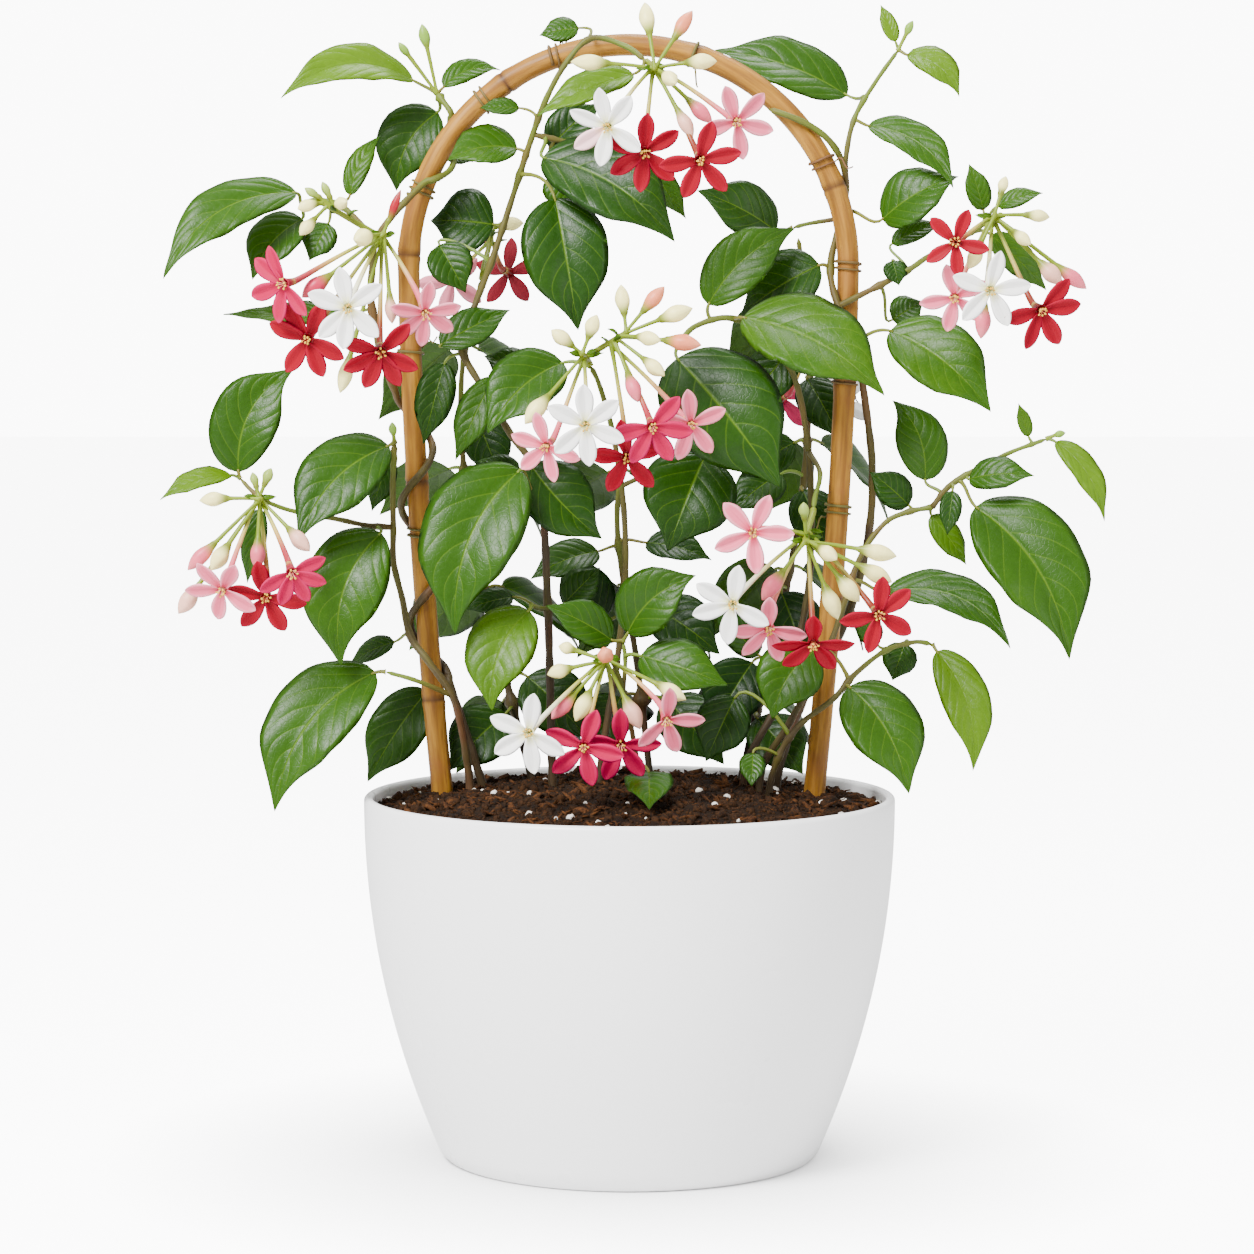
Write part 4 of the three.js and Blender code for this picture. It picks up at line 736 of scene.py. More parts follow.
STALK_GREEN = (0.150, 0.210, 0.008)
TUBE_CREAM = (0.52, 0.45, 0.09)
TUBE_CREAM_SPAN = (0.1, 0.5)
TUBE_COLOUR_SPAN = (0.25, 0.75)
TUBE_COLOUR_SHARE = 0.95
YOUNG_GREEN = (0.16, 0.29, 0.025)
PETIOLE_GREEN = (0.11, 0.175, 0.016)
PETIOLE_RED = (0.135, 0.055, 0.014)
TENDRIL_BROWN = (0.115, 0.050, 0.016)
TENDRIL_GREEN = (0.09, 0.095, 0.018)
# LEAF_DARK, at the lowest tones, also paints the shade on leaves deep in the foliage.
LEAF_DARK = (0.004, 0.023, 0.0005)
LEAF_FRESH = (0.020, 0.064, 0.0005)
LEAF_YOUNG = (0.080, 0.160, 0.0005)
LEAF_VEIN = (0.070, 0.135, 0.004)
LEAF_BACK = (0.028, 0.070, 0.003)
BARK_OLD = (0.042, 0.026, 0.010)
BARK_MIDDLE = (0.074, 0.062, 0.010)
BARK_YOUNG = (0.090, 0.130, 0.008)
BARK_FLUSH = (0.115, 0.036, 0.012)
BARK_CRACK = (0.018, 0.010, 0.006)
CANE_LIGHT = (0.34, 0.160, 0.018)
CANE_DARK = (0.165, 0.068, 0.007)
CANE_LINE = (0.125, 0.046, 0.011)
CANE_STAIN = (0.21, 0.075, 0.016)
CANE_JOINT = (0.065, 0.026, 0.008)
POT_WHITE = (0.88, 0.88, 0.88)
EARTHS = {
    "earth": {"dark": (0.003, 0.0014, 0.0006), "light": (0.017, 0.0075, 0.0025), "damp": 0.7},
    "crumb": {"dark": (0.005, 0.0023, 0.0009), "light": (0.036, 0.015, 0.005), "damp": 0.68},
    "bark_chip": {"dark": (0.014, 0.005, 0.002), "light": (0.085, 0.032, 0.009), "damp": 0.75},
    "perlite": {"dark": (0.45, 0.42, 0.37), "light": (0.74, 0.71, 0.66), "damp": 0.85},
}

# How strongly each finish reflects
EARTH_GLOSS = 0.1
CANE_GLOSS = 0.18
STALK_GLOSS = 0.25
LEAF_GLOSS = 0.16
PETAL_GLOSS = 0.08


# Numbers and curves

def unit(vector):
    vector = np.asarray(vector, float)
    return vector / np.linalg.norm(vector)


def repeatable(seed):
    """The small random generator that the solids are made with."""
    word = 0xFFFFFFFF
    state = seed

    def draw():
        nonlocal state
        state = (state + 0x6D2B79F5) & word
        t = ((state ^ (state >> 15)) * (1 | state)) & word
        t = ((t + (((t ^ (t >> 7)) * (61 | t)) & word)) & word) ^ t
        return (t ^ (t >> 14)) / 4294967296

    return draw


def spline(points, fineness=24):
    """A smooth line through points, as many short runs."""
    p = np.array(points, float)
    p = np.vstack([2 * p[0] - p[1], p, 2 * p[-1] - p[-2]])
    t = np.linspace(0, 1, fineness, endpoint=False)[:, None]
    runs = []
    for a, b, c, d in zip(p, p[1:], p[2:], p[3:]):
        runs.append((2 * t**3 - 3 * t**2 + 1) * b + (t**3 - 2 * t**2 + t) * (c - a) / 2
                    + (3 * t**2 - 2 * t**3) * c + (t**3 - t**2) * (d - b) / 2)
    return np.vstack([*runs, p[-2]])


def reach_of(line):
    """The distance of each point along a line from its start."""
    return np.concatenate([[0], np.cumsum(np.linalg.norm(np.diff(line, axis=0), axis=1))])


def spread_along(line, count):
    """A line's shape with its points at even distances."""
    reach = reach_of(line)
    at = np.linspace(0, reach[-1], count)
    return np.column_stack([np.interp(at, reach, line[:, k]) for k in range(3)])


def bezier(a, b, c, d, count):
    t = np.linspace(0, 1, count)[:, None]
    return (1 - t)**3 * a + 3 * t * (1 - t)**2 * b + 3 * t**2 * (1 - t) * c + t**3 * d


def smooth_step(value, low, high):
    t = np.clip((value - low) / (high - low), 0, 1)
    return t * t * (3 - 2 * t)


def bell(distance, half_width):
    """One at no distance, and less on both sides."""
    return np.exp(-(distance / half_width) ** 2)


def blend(first, second, share):
    share = np.asarray(share, float)[..., None]
    return (1 - share) * np.asarray(first, float) + share * np.asarray(second, float)


def frames_along(line):
    """Tangent and two normals at each point, carried along without twist."""
    tangents = np.gradient(line, axis=0)
    tangents /= np.linalg.norm(tangents, axis=1)[:, None]
    helper = (0, 0, 1) if abs(tangents[0][2]) < 0.8 else (0, 1, 0)
    normal = unit(np.cross(tangents[0], helper))
    normals = []
    for tangent in tangents:
        normal = unit(normal - tangent * normal.dot(tangent))
        normals.append(normal)
    normals = np.array(normals)
    return tangents, normals, np.cross(tangents, normals)


# Meshes

class Surface:
    """Gathers grids of points into one mesh with a UV map, a tone, an underside mark and a tint."""

    def __init__(self):
        self.points, self.faces, self.uvs, self.slots = [], [], [], []
        self.tones, self.unders, self.tints = [], [], []
        self.size = 0

    def grid(self, points, slot=0, u=None, v=None, tone=0.0, under=0.0, tint=(1, 1, 1), closed=False,
             caps=False):
        """Faces between rows of points, which are joined into rings where closed."""
        points = np.asarray(points, float)
        rows, columns = points.shape[:2]
        index = self.size + np.arange(rows * columns).reshape(rows, columns)
        u = np.linspace(0, 1, columns + closed) if u is None else np.asarray(u, float)
        v = np.linspace(0, 1, rows) if v is None else np.asarray(v, float)
        if caps:
            self.faces += [index[0][::-1].tolist(), index[-1].tolist()]
            around = np.linspace(0, 1, columns, endpoint=False)
            self.uvs += [(x, v[0]) for x in around[::-1]] + [(x, v[-1]) for x in around]
            self.slots += [slot, slot]
        if closed:
            index = np.hstack([index, index[:, :1]])
        quads = np.stack([index[:-1, :-1], index[:-1, 1:], index[1:, 1:], index[1:, :-1]], -1)
        across, up = np.meshgrid(u, v)
        corners = np.stack([across, up], -1)
        corners = np.stack([corners[:-1, :-1], corners[:-1, 1:], corners[1:, 1:], corners[1:, :-1]], 2)
        self.faces += quads.reshape(-1, 4).tolist()
        self.uvs += [tuple(c) for c in corners.reshape(-1, 2)]
        self.slots += [slot] * (quads.size // 4)
        self.points.append(points.reshape(-1, 3))
        self.tones.append(np.broadcast_to(tone, (rows, columns)).reshape(-1))
        self.unders.append(np.broadcast_to(under, (rows, columns)).reshape(-1))
        self.tints.append(np.broadcast_to(tint, (rows, columns, 3)).reshape(-1, 3))
        self.size += rows * columns

    def tube(self, line, radii, sides, slot=0, tone=0.0, tint=(1, 1, 1), pattern=None):
        """A closed tube round a line. radii is one number, or one a ring, or one a ring and side, and
        pattern is the length that the UV map's v grows by one over."""
        _, normals, binormals = frames_along(line)
        angle = np.linspace(0, 2 * math.pi, sides, endpoint=False)
        radii = np.asarray(radii, float)
        radii = np.broadcast_to(radii[:, None] if radii.ndim == 1 else radii, (len(line), sides))
        ring = (np.cos(angle)[None, :, None] * normals[:, None] + np.sin(angle)[None, :, None]
                * binormals[:, None])
        points = line[:, None] + ring * radii[..., None]
        reach = reach_of(line)
        tone = np.asarray(tone, float)
        tint = np.asarray(tint, float)
        self.grid(points, slot, v=reach / (pattern or reach[-1]), tone=tone[:, None] if tone.ndim else tone,
                  tint=tint[:, None] if tint.ndim > 1 else tint, closed=True, caps=True)

    def sheet(self, upper, lower, slot, v, **looks):
        """A thin closed blade or petal from the grids of its two faces, whose rims are shared."""
        columns = upper.shape[1]
        lay = np.linspace(-1, 1, columns)
        ring = np.concatenate([upper, lower[:, -2:0:-1]], axis=1)
        u = np.concatenate([lay, lay[-2:0:-1], lay[:1]]) / 2 + 0.5
        under = np.concatenate([np.zeros(columns), np.ones(columns - 2)])
        self.grid(ring, slot, u=u, v=v, under=under, closed=True, **looks)

    def piece(self, name, materials):
        """The object at the origin, with doubles merged and its faces pointing outwards."""
        mesh = bpy.data.meshes.new(name)
        points = np.vstack(self.points) * MM
        mesh.from_pydata(points.tolist(), [], self.faces)
        mesh.uv_layers.new(name="UVMap").data.foreach_set("uv", np.array(self.uvs, np.float32).ravel())
        mesh.polygons.foreach_set("material_index", self.slots)
        for key, values in (("tone", self.tones), ("under", self.unders)):
            field = mesh.attributes.new(key, "FLOAT", "POINT")
            field.data.foreach_set("value", np.concatenate(values).astype(np.float32))
        tints = np.vstack(self.tints)
        tints = np.hstack([tints, np.ones((len(tints), 1))]).astype(np.float32)
        mesh.attributes.new("tint", "FLOAT_COLOR", "POINT").data.foreach_set("color", tints.ravel())
        for material in materials:
            mesh.materials.append(material)
        whole = bmesh.new()
        whole.from_mesh(mesh)
        bmesh.ops.remove_doubles(whole, verts=whole.verts, dist=0.002 * MM)
        bmesh.ops.dissolve_degenerate(whole, edges=whole.edges, dist=0.0005 * MM)
        bmesh.ops.recalc_face_normals(whole, faces=whole.faces)
        whole.to_mesh(mesh)
        whole.free()
        made = bpy.data.objects.new(name, mesh)
        smooth_faces(made)
        bpy.context.scene.collection.objects.link(made)
        return made


def smooth_faces(made):
    made.data.polygons.foreach_set("use_smooth", [True] * len(made.data.polygons))


def apply_modifiers(made):
    """Turns an object's modifiers into its plain mesh."""
    bpy.context.view_layer.update()
    whole = made.evaluated_get(bpy.context.evaluated_depsgraph_get())
    mesh = bpy.data.meshes.new_from_object(whole)
    made.modifiers.clear()
    made.data = mesh


def dress(made, slot, *nodes):
    """The piece rides on the part's one body and stands for its solids; slot is not used."""
    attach(made, "root")
    if nodes:
        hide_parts(*nodes)


# Shader helpers

def new_tree(name):
    material = bpy.data.materials.new(name)
    material.use_nodes = True
    tree = material.node_tree
    tree.nodes.clear()
    shader = tree.nodes.new("ShaderNodeBsdfPrincipled")
    output = tree.nodes.new("ShaderNodeOutputMaterial")
    tree.links.new(shader.outputs["BSDF"], output.inputs["Surface"])
    return material, tree, shader


def feed(tree, socket, value):
    """Gives a socket a plain value or another node's output."""
    if isinstance(value, bpy.types.NodeSocket):
        tree.links.new(value, socket)
    else:
        socket.default_value = value


def put(tree, kind, inputs=None, **settings):
    """Adds a node. inputs maps a socket's name or number to a value or to another node's output."""
    made = tree.nodes.new(kind)
    for key, value in settings.items():
        setattr(made, key, value)
    for key, value in (inputs or {}).items():
        feed(tree, made.inputs[key], value)
    return made


def maths(tree, operation, first, second=0.0, third=0.0, clamp=False):
    made = put(tree, "ShaderNodeMath", {0: first, 1: second, 2: third}, operation=operation,
               use_clamp=clamp)
    return made.outputs[0]


def mixed(tree, share, first, second, mode="MIX"):
    made = put(tree, "ShaderNodeMix", {0: share, 6: first, 7: second}, data_type="RGBA",
               blend_type=mode)
    return made.outputs[2]


def ranged(tree, value, low, high, to_low=0.0, to_high=1.0, smooth=True):
    made = put(tree, "ShaderNodeMapRange", {0: value, 1: low, 2: high, 3: to_low, 4: to_high},
               interpolation_type="SMOOTHSTEP" if smooth else "LINEAR")
    return made.outputs[0]


def rgba(colour):
    return (*colour, 1.0)


def attribute(tree, name):
    return put(tree, "ShaderNodeAttribute", attribute_name=name)


def across_and_along(tree):
    """A UV map's distance from the middle line, one at the rim, its u and its v."""
    uv = put(tree, "ShaderNodeSeparateXYZ", {0: put(tree, "ShaderNodeTexCoord").outputs["UV"]}).outputs
    return maths(tree, "ABSOLUTE", maths(tree, "MULTIPLY_ADD", uv[0], 2.0, -1.0)), uv[0], uv[1]


def place_noise(tree, waves, detail=3.0):
    """Noise on object coordinates, with so many waves a metre."""
    where = put(tree, "ShaderNodeTexCoord").outputs["Object"]
    return put(tree, "ShaderNodeTexNoise", {"Vector": where, "Scale": waves, "Detail": detail,
                                            "Roughness": 0.55}).outputs["Fac"]


def swing(tree, noise):
    """Noise as a swing about zero."""
    return maths(tree, "SUBTRACT", noise, 0.5)


def effect(name, inputs, outputs):
    """An empty shader node group with named sockets: (tree, its inputs, its output node)."""
    tree = bpy.data.node_groups.new(name, "ShaderNodeTree")
    for label, kind, value in inputs:
        socket = tree.interface.new_socket(label, in_out="INPUT", socket_type=kind)
        socket.default_value = value
    for label, kind in outputs:
        tree.interface.new_socket(label, in_out="OUTPUT", socket_type=kind)
    return tree, tree.nodes.new("NodeGroupInput").outputs, tree.nodes.new("NodeGroupOutput")


def use_effect(tree, group, inputs):
    return put(tree, "ShaderNodeGroup", inputs, node_tree=group).outputs


def coat(tree, shader, colour, roughness, gloss=None, relief=None, strength=0.0, depth=0.0):
    """Feeds a shader's colour, roughness and gloss, and its fine relief as a bump, depth in metres."""
    feed(tree, shader.inputs["Base Color"], colour)
    feed(tree, shader.inputs["Roughness"], roughness)
    if gloss is not None:
        shader.inputs["Specular IOR Level"].default_value = gloss
    if relief is not None:
        bump = put(tree, "ShaderNodeBump", {"Strength": strength, "Distance": depth, "Height": relief})
        tree.links.new(bump.outputs[0], shader.inputs["Normal"])


FLOAT, COLOUR = "NodeSocketFloat", "NodeSocketColor"


def make_mottle():
    """Soft patches that lighten and darken a colour."""
    tree, given, out = effect("mottle", [("Colour", COLOUR, (1, 1, 1, 1)), ("Scale", FLOAT, 60.0),
                                         ("Amount", FLOAT, 0.2)], [("Colour", COLOUR)])
    share = maths(tree, "MULTIPLY_ADD", swing(tree, place_noise(tree, given["Scale"])),
                  maths(tree, "MULTIPLY", given["Amount"], 2.0), 1.0)
    bright = put(tree, "ShaderNodeVectorMath", {0: given["Colour"], "Scale": share}, operation="SCALE")
    tree.links.new(bright.outputs[0], out.inputs["Colour"])
    return tree


def make_fibre():
    """Streaks that run along a piece, by its UV map: u round it and v along it."""
    tree, given, out = effect("fibre", [("Across", FLOAT, 40.0), ("Along", FLOAT, 2.0)],
                              [("Streak", FLOAT), ("Fine", FLOAT)])
    uv = put(tree, "ShaderNodeTexCoord").outputs["UV"]
    scale = put(tree, "ShaderNodeCombineXYZ", {0: given["Across"], 1: given["Along"]}).outputs[0]
    wide = put(tree, "ShaderNodeVectorMath", {0: uv, 1: scale}, operation="MULTIPLY").outputs[0]
    fine = put(tree, "ShaderNodeVectorMath", {0: wide, "Scale": 3.1}, operation="SCALE").outputs[0]
    for label, where in (("Streak", wide), ("Fine", fine)):
        noise = put(tree, "ShaderNodeTexNoise", {"Vector": where, "Scale": 1.0, "Detail": 3.0})
        tree.links.new(noise.outputs["Fac"], out.inputs[label])
    return tree


def make_veins():
    """Midrib, arching side veins and a fine net, from a blade's UV map: u across and v along."""
    tree, given, out = effect("veins", [("Pairs", FLOAT, 9.0)],
                              [("Midrib", FLOAT), ("Veins", FLOAT), ("Height", FLOAT)])
    side, u, along = across_and_along(tree)
    narrow = maths(tree, "MULTIPLY_ADD", along, -0.035, 0.055)
    midrib = maths(tree, "SUBTRACT", 1.0, maths(tree, "DIVIDE", side, narrow), clamp=True)
    arch = maths(tree, "MULTIPLY_ADD", maths(tree, "MULTIPLY", side, side), -0.10,
                 maths(tree, "MULTIPLY_ADD", side, -0.27, along))
    wobble = maths(tree, "MULTIPLY", swing(tree, place_noise(tree, 60.0, 2.0)), 0.03)
    stagger = maths(tree, "MULTIPLY", maths(tree, "LESS_THAN", u, 0.5), 0.35)
    phase = maths(tree, "MULTIPLY_ADD", maths(tree, "ADD", arch, wobble), given["Pairs"], stagger)
    away = maths(tree, "ABSOLUTE", maths(tree, "SUBTRACT", maths(tree, "FRACT", phase), 0.5))
    fade = ranged(tree, side, 0.98, 0.7)
    vein = maths(tree, "MULTIPLY", ranged(tree, away, 0.060, 0.010), fade)
    hollow = maths(tree, "POWER", maths(tree, "MULTIPLY_ADD", away, -2.0, 1.0), 2.2)
    pillow = maths(tree, "SUBTRACT", 1.0, hollow)
    place = put(tree, "ShaderNodeTexCoord").outputs["Object"]
    cells = put(tree, "ShaderNodeTexVoronoi", {"Vector": place, "Scale": 420.0},
                feature="DISTANCE_TO_EDGE")
    net = ranged(tree, cells.outputs["Distance"], 0.0, 0.12)
    height = maths(tree, "MULTIPLY_ADD", net, 0.1, maths(tree, "MULTIPLY", pillow, 0.6))
    height = maths(tree, "MULTIPLY_ADD", midrib, -0.5, height)
    for label, value in (("Midrib", midrib), ("Veins", vein), ("Height", height)):
        tree.links.new(value, out.inputs[label])
    return tree


MOTTLE = make_mottle()
FIBRE = make_fibre()
VEINS = make_veins()


# Materials

def plastic_material():
    """White moulded plastic, satin, with a faint unevenness in the light."""
    material, tree, shader = new_tree("white_plastic")
    colour = use_effect(tree, MOTTLE, {"Colour": rgba(POT_WHITE), "Scale": 14.0, "Amount": 0.02})["Colour"]
    rough = ranged(tree, place_noise(tree, 30.0), 0.3, 0.7, 0.27, 0.33)
    coat(tree, shader, colour, rough, relief=place_noise(tree, 1500.0, 2.0), strength=0.03, depth=0.0002)
    return material


def earth_material(name, dark, light, damp):
    """Soil matter, from dark to light by its own noise, and rough from its damp hollows outwards."""
    material, tree, shader = new_tree(name)
    patch = maths(tree, "MULTIPLY_ADD", place_noise(tree, 900.0, 4.0), 0.6,
                  maths(tree, "MULTIPLY", place_noise(tree, 110.0, 2.0), 0.4))
    colour = mixed(tree, ranged(tree, patch, 0.36, 0.66), rgba(dark), rgba(light))
    rough = ranged(tree, patch, 0.3, 0.7, damp, 0.95)
    coat(tree, shader, colour, rough, EARTH_GLOSS, relief=patch, strength=0.7, depth=0.0008)
    return material


def cane_material():
    """Tan cane with long fibres, ochre stains and darker joints (the tone marks a joint)."""
    material, tree, shader = new_tree("cane")
    streaks = use_effect(tree, FIBRE, {"Across": 9.0, "Along": 1.2})
    colour = mixed(tree, ranged(tree, streaks["Streak"], 0.32, 0.68), rgba(CANE_DARK), rgba(CANE_LIGHT))
    lines = ranged(tree, streaks["Fine"], 0.52, 0.74)
    colour = mixed(tree, maths(tree, "MULTIPLY", lines, 0.5), colour, rgba(CANE_LINE))
    stain = ranged(tree, place_noise(tree, 38.0), 0.5, 0.72)
    colour = mixed(tree, maths(tree, "MULTIPLY", stain, 0.55), colour, rgba(CANE_STAIN))
    colour = mixed(tree, attribute(tree, "tone").outputs["Fac"], colour, rgba(CANE_JOINT))
    rough = ranged(tree, streaks["Fine"], 0.3, 0.7, 0.36, 0.52)
    coat(tree, shader, colour, rough, CANE_GLOSS, relief=streaks["Fine"], strength=0.35, depth=0.0005)
    return material


def bark_material():
    """Stems: brown and ridged where old, green or reddish where young, by the tone."""
    material, tree, shader = new_tree("vine_bark")
    tone = attribute(tree, "tone").outputs["Fac"]
    streaks = use_effect(tree, FIBRE, {"Across": 5.0, "Along": 0.6})
    youth = maths(tree, "MULTIPLY_ADD", swing(tree, place_noise(tree, 55.0)), 0.7, tone)
    colour = mixed(tree, ranged(tree, youth, 0.1, 0.5), rgba(BARK_OLD), rgba(BARK_MIDDLE))
    colour = mixed(tree, ranged(tree, youth, 0.45, 0.85), colour, rgba(BARK_YOUNG))
    flush = ranged(tree, place_noise(tree, 24.0, 2.0), 0.5, 0.68)
    colour = mixed(tree, maths(tree, "MULTIPLY", flush, 0.5), colour, rgba(BARK_FLUSH))
    age = maths(tree, "SUBTRACT", 1.0, youth, clamp=True)
    crack = maths(tree, "MULTIPLY", ranged(tree, streaks["Fine"], 0.5, 0.66), age)
    colour = mixed(tree, maths(tree, "MULTIPLY", crack, 0.6), colour, rgba(BARK_CRACK))
    coat(tree, shader, colour, 0.55, STALK_GLOSS, relief=streaks["Fine"], strength=0.5, depth=0.0004)
    return material


def leaf_material():
    """A glossy blade: dark, fresh or young green by the tone, pale veins, paler and matte underneath."""
    material, tree, shader = new_tree("leaf_blade")
    tone = attribute(tree, "tone").outputs["Fac"]
    under = attribute(tree, "under").outputs["Fac"]
    veins = use_effect(tree, VEINS, {"Pairs": 6.5})
    patch = swing(tree, place_noise(tree, 28.0))
    fleck = swing(tree, place_noise(tree, 420.0, 2.0))
    tone = maths(tree, "MULTIPLY_ADD", patch, 0.35, tone)
    tone = maths(tree, "MULTIPLY_ADD", fleck, 0.16, tone)
    # The dark end of the tone also paints the shade on leaves deep in the foliage.
    blade = mixed(tree, ranged(tree, tone, 0.05, 0.5, smooth=False), rgba(LEAF_DARK), rgba(LEAF_FRESH))
    blade = mixed(tree, ranged(tree, tone, 0.5, 1.0, smooth=False), blade, rgba(LEAF_YOUNG))
    line = maths(tree, "MAXIMUM", maths(tree, "MULTIPLY", veins["Veins"], 0.34),
                 maths(tree, "MULTIPLY", veins["Midrib"], 0.8), clamp=True)
    blade = mixed(tree, line, blade, rgba(LEAF_VEIN))
    back = mixed(tree, maths(tree, "MULTIPLY", line, 0.6), rgba(LEAF_BACK), rgba(LEAF_VEIN))
    blade = mixed(tree, maths(tree, "MULTIPLY", under, 0.75), blade, back)
    rough = maths(tree, "MULTIPLY_ADD", under, 0.22, ranged(tree, fleck, -0.3, 0.3, 0.30, 0.40))
    coat(tree, shader, blade, rough, LEAF_GLOSS, relief=veins["Height"], strength=0.5, depth=0.0007)
    return material


def petal_material(name, colour):
    """A petal: its base, blade and edge colours, a darker line along the middle and fine streaks.
    The UV map has u across and v from the throat to the tip."""
    material, tree, shader = new_tree(name)
    side, _, along = across_and_along(tree)
    streaks = use_effect(tree, FIBRE, {"Across": 8.0, "Along": 1.0})
    blade = mixed(tree, ranged(tree, along, 0.08, 0.42), rgba(colour["base"]), rgba(colour["blade"]))
    rim = maths(tree, "MAXIMUM", ranged(tree, side, 0.45, 1.0), ranged(tree, along, 0.8, 1.02))
    rim = maths(tree, "MULTIPLY_ADD", swing(tree, streaks["Streak"]), 0.5, rim, clamp=True)
    blade = mixed(tree, rim, blade, rgba(colour["edge"]))
    middle = maths(tree, "MULTIPLY", ranged(tree, side, 0.16, 0.0), ranged(tree, along, 0.95, 0.4))
    deep = rgba(0.72 * c for c in colour["blade"])
    blade = mixed(tree, maths(tree, "MULTIPLY", middle, 0.55), blade, deep)
    under = attribute(tree, "under").outputs["Fac"]
    pale = rgba(0.9 * c + 0.03 for c in colour["edge"])
    blade = mixed(tree, maths(tree, "MULTIPLY", under, 0.6), blade, pale)
    blade = mixed(tree, 1.0, blade, attribute(tree, "tint").outputs["Color"], mode="MULTIPLY")
    coat(tree, shader, blade, 0.5, PETAL_GLOSS, relief=streaks["Fine"], strength=0.25, depth=0.0004)
    return material


def tinted_material(name, roughness, waves):
    """Soft plant tissue that takes its colour from the piece's own tint, lightly mottled."""
    material, tree, shader = new_tree(name)
    tint = attribute(tree, "tint").outputs["Color"]
    colour = use_effect(tree, MOTTLE, {"Colour": tint, "Scale": waves, "Amount": 0.22})["Colour"]
    coat(tree, shader, colour, roughness, STALK_GLOSS)
    return material


PLASTIC = plastic_material()
EARTH = {name: earth_material(name, **looks) for name, looks in EARTHS.items()}
CANE = cane_material()
BARK = bark_material()
LEAF = leaf_material()
PETAL = {colour: petal_material(f"petal_{colour}", shades) for colour, shades in PETALS.items()}
STALK = tinted_material("flower_stalk", 0.4, 240.0)
STAMEN = tinted_material("stamen", 0.6, 500.0)
TENDRIL = tinted_material("tendril", 0.6, 160.0)


# Pot and soil

def pot_radius(z):
    return POT_RIM_RADIUS - (POT_RIM_RADIUS - POT_FOOT_RADIUS) * (1 - z / POT_HEIGHT) ** POT_FLARE_POWER


def turned(profile, segments):
    """Points of a profile of (radius, height) turned about the upright axis."""
    angle = np.linspace(0, 2 * math.pi, segments, endpoint=False)
    profile = np.array(profile, float)
    ring = np.stack([np.cos(angle), np.sin(angle), np.zeros(segments)], -1)
    points = profile[:, None, :1] * ring[None]
    points[..., 2] = profile[:, 1:2]
    return points


def rounded(centre, radius, start, end, count):
    """Points of an arc, from one angle to another in degrees."""
    return [(centre[0] + radius * math.cos(math.radians(a)), centre[1] + radius * math.sin(math.radians(a)))
            for a in np.linspace(start, end, count)]


def make_pot():
    half = POT_WALL / 2
    lip = POT_HEIGHT - half
    corner = POT_FLOOR + POT_CORNER_ROUND
    outside = [(pot_radius(z), z) for z in np.linspace(POT_FOOT_ROUND, lip, POT_LEVELS_OUTSIDE)[:-1]]
    inside = [(pot_radius(z) - POT_WALL, z) for z in np.linspace(lip, corner, POT_LEVELS_INSIDE)[1:]]
    foot = rounded((POT_FOOT_RADIUS - POT_FOOT_ROUND, POT_FOOT_ROUND), POT_FOOT_ROUND, -90, -15,
                   POT_CORNER_POINTS)
    inner = pot_radius(corner) - POT_WALL
    profile = [(0, POT_HOLLOW), (POT_FOOT_RADIUS - POT_HOLLOW_INSET, POT_HOLLOW),
               (POT_FOOT_RADIUS - POT_RING_INSET, 0), *foot, *outside,
               *rounded((POT_RIM_RADIUS - half, lip), half, 0, 180, POT_LIP_POINTS), *inside,
               *rounded((inner - POT_CORNER_ROUND, corner), POT_CORNER_ROUND, 0, -90, POT_CORNER_POINTS)[1:],
               (0, POT_FLOOR)]
    surface = Surface()
    surface.grid(turned(profile, POT_SEGMENTS), closed=True)
    pot = surface.piece("pot_shell", [PLASTIC])
    for i in range(DRAIN_COUNT):
        angle = 2 * math.pi * i / DRAIN_COUNT
        bpy.ops.mesh.primitive_cylinder_add(vertices=DRAIN_SEGMENTS, radius=DRAIN_RADIUS * MM,
                                            depth=DRAIN_DEPTH * MM)
        drill = bpy.context.object
        drill.location = (DRAIN_CIRCLE * math.cos(angle) * MM, DRAIN_CIRCLE * math.sin(angle) * MM, 0)
        cut = pot.modifiers.new("hole", "BOOLEAN")
        cut.operation = "DIFFERENCE"
        cut.object = drill
        apply_modifiers(pot)
        bpy.data.objects.remove(drill)
    smooth_faces(pot)
    pot.data.set_sharp_from_angle(angle=math.radians(POT_SHARP_EDGE))
    dress(pot, "pot_plastic", "pot")


def soil_height(x, y):
    """The mound's height, with shallow hollows and lumps."""
    share = np.clip(np.hypot(x, y) / SOIL_RADIUS, 0, 1)
    lumps = sum(size * np.sin(x / wave + turn) * np.cos(y / wave * SOIL_LUMP_SKEW - turn)
                for size, wave, turn in SOIL_LUMPS)
    fade = np.clip((1 - share) * SOIL_LUMP_FADE, SOIL_LUMP_LEAST, 1)
    return SOIL_EDGE_HEIGHT + SOIL_MOUND * (1 - share**2) + lumps * fade


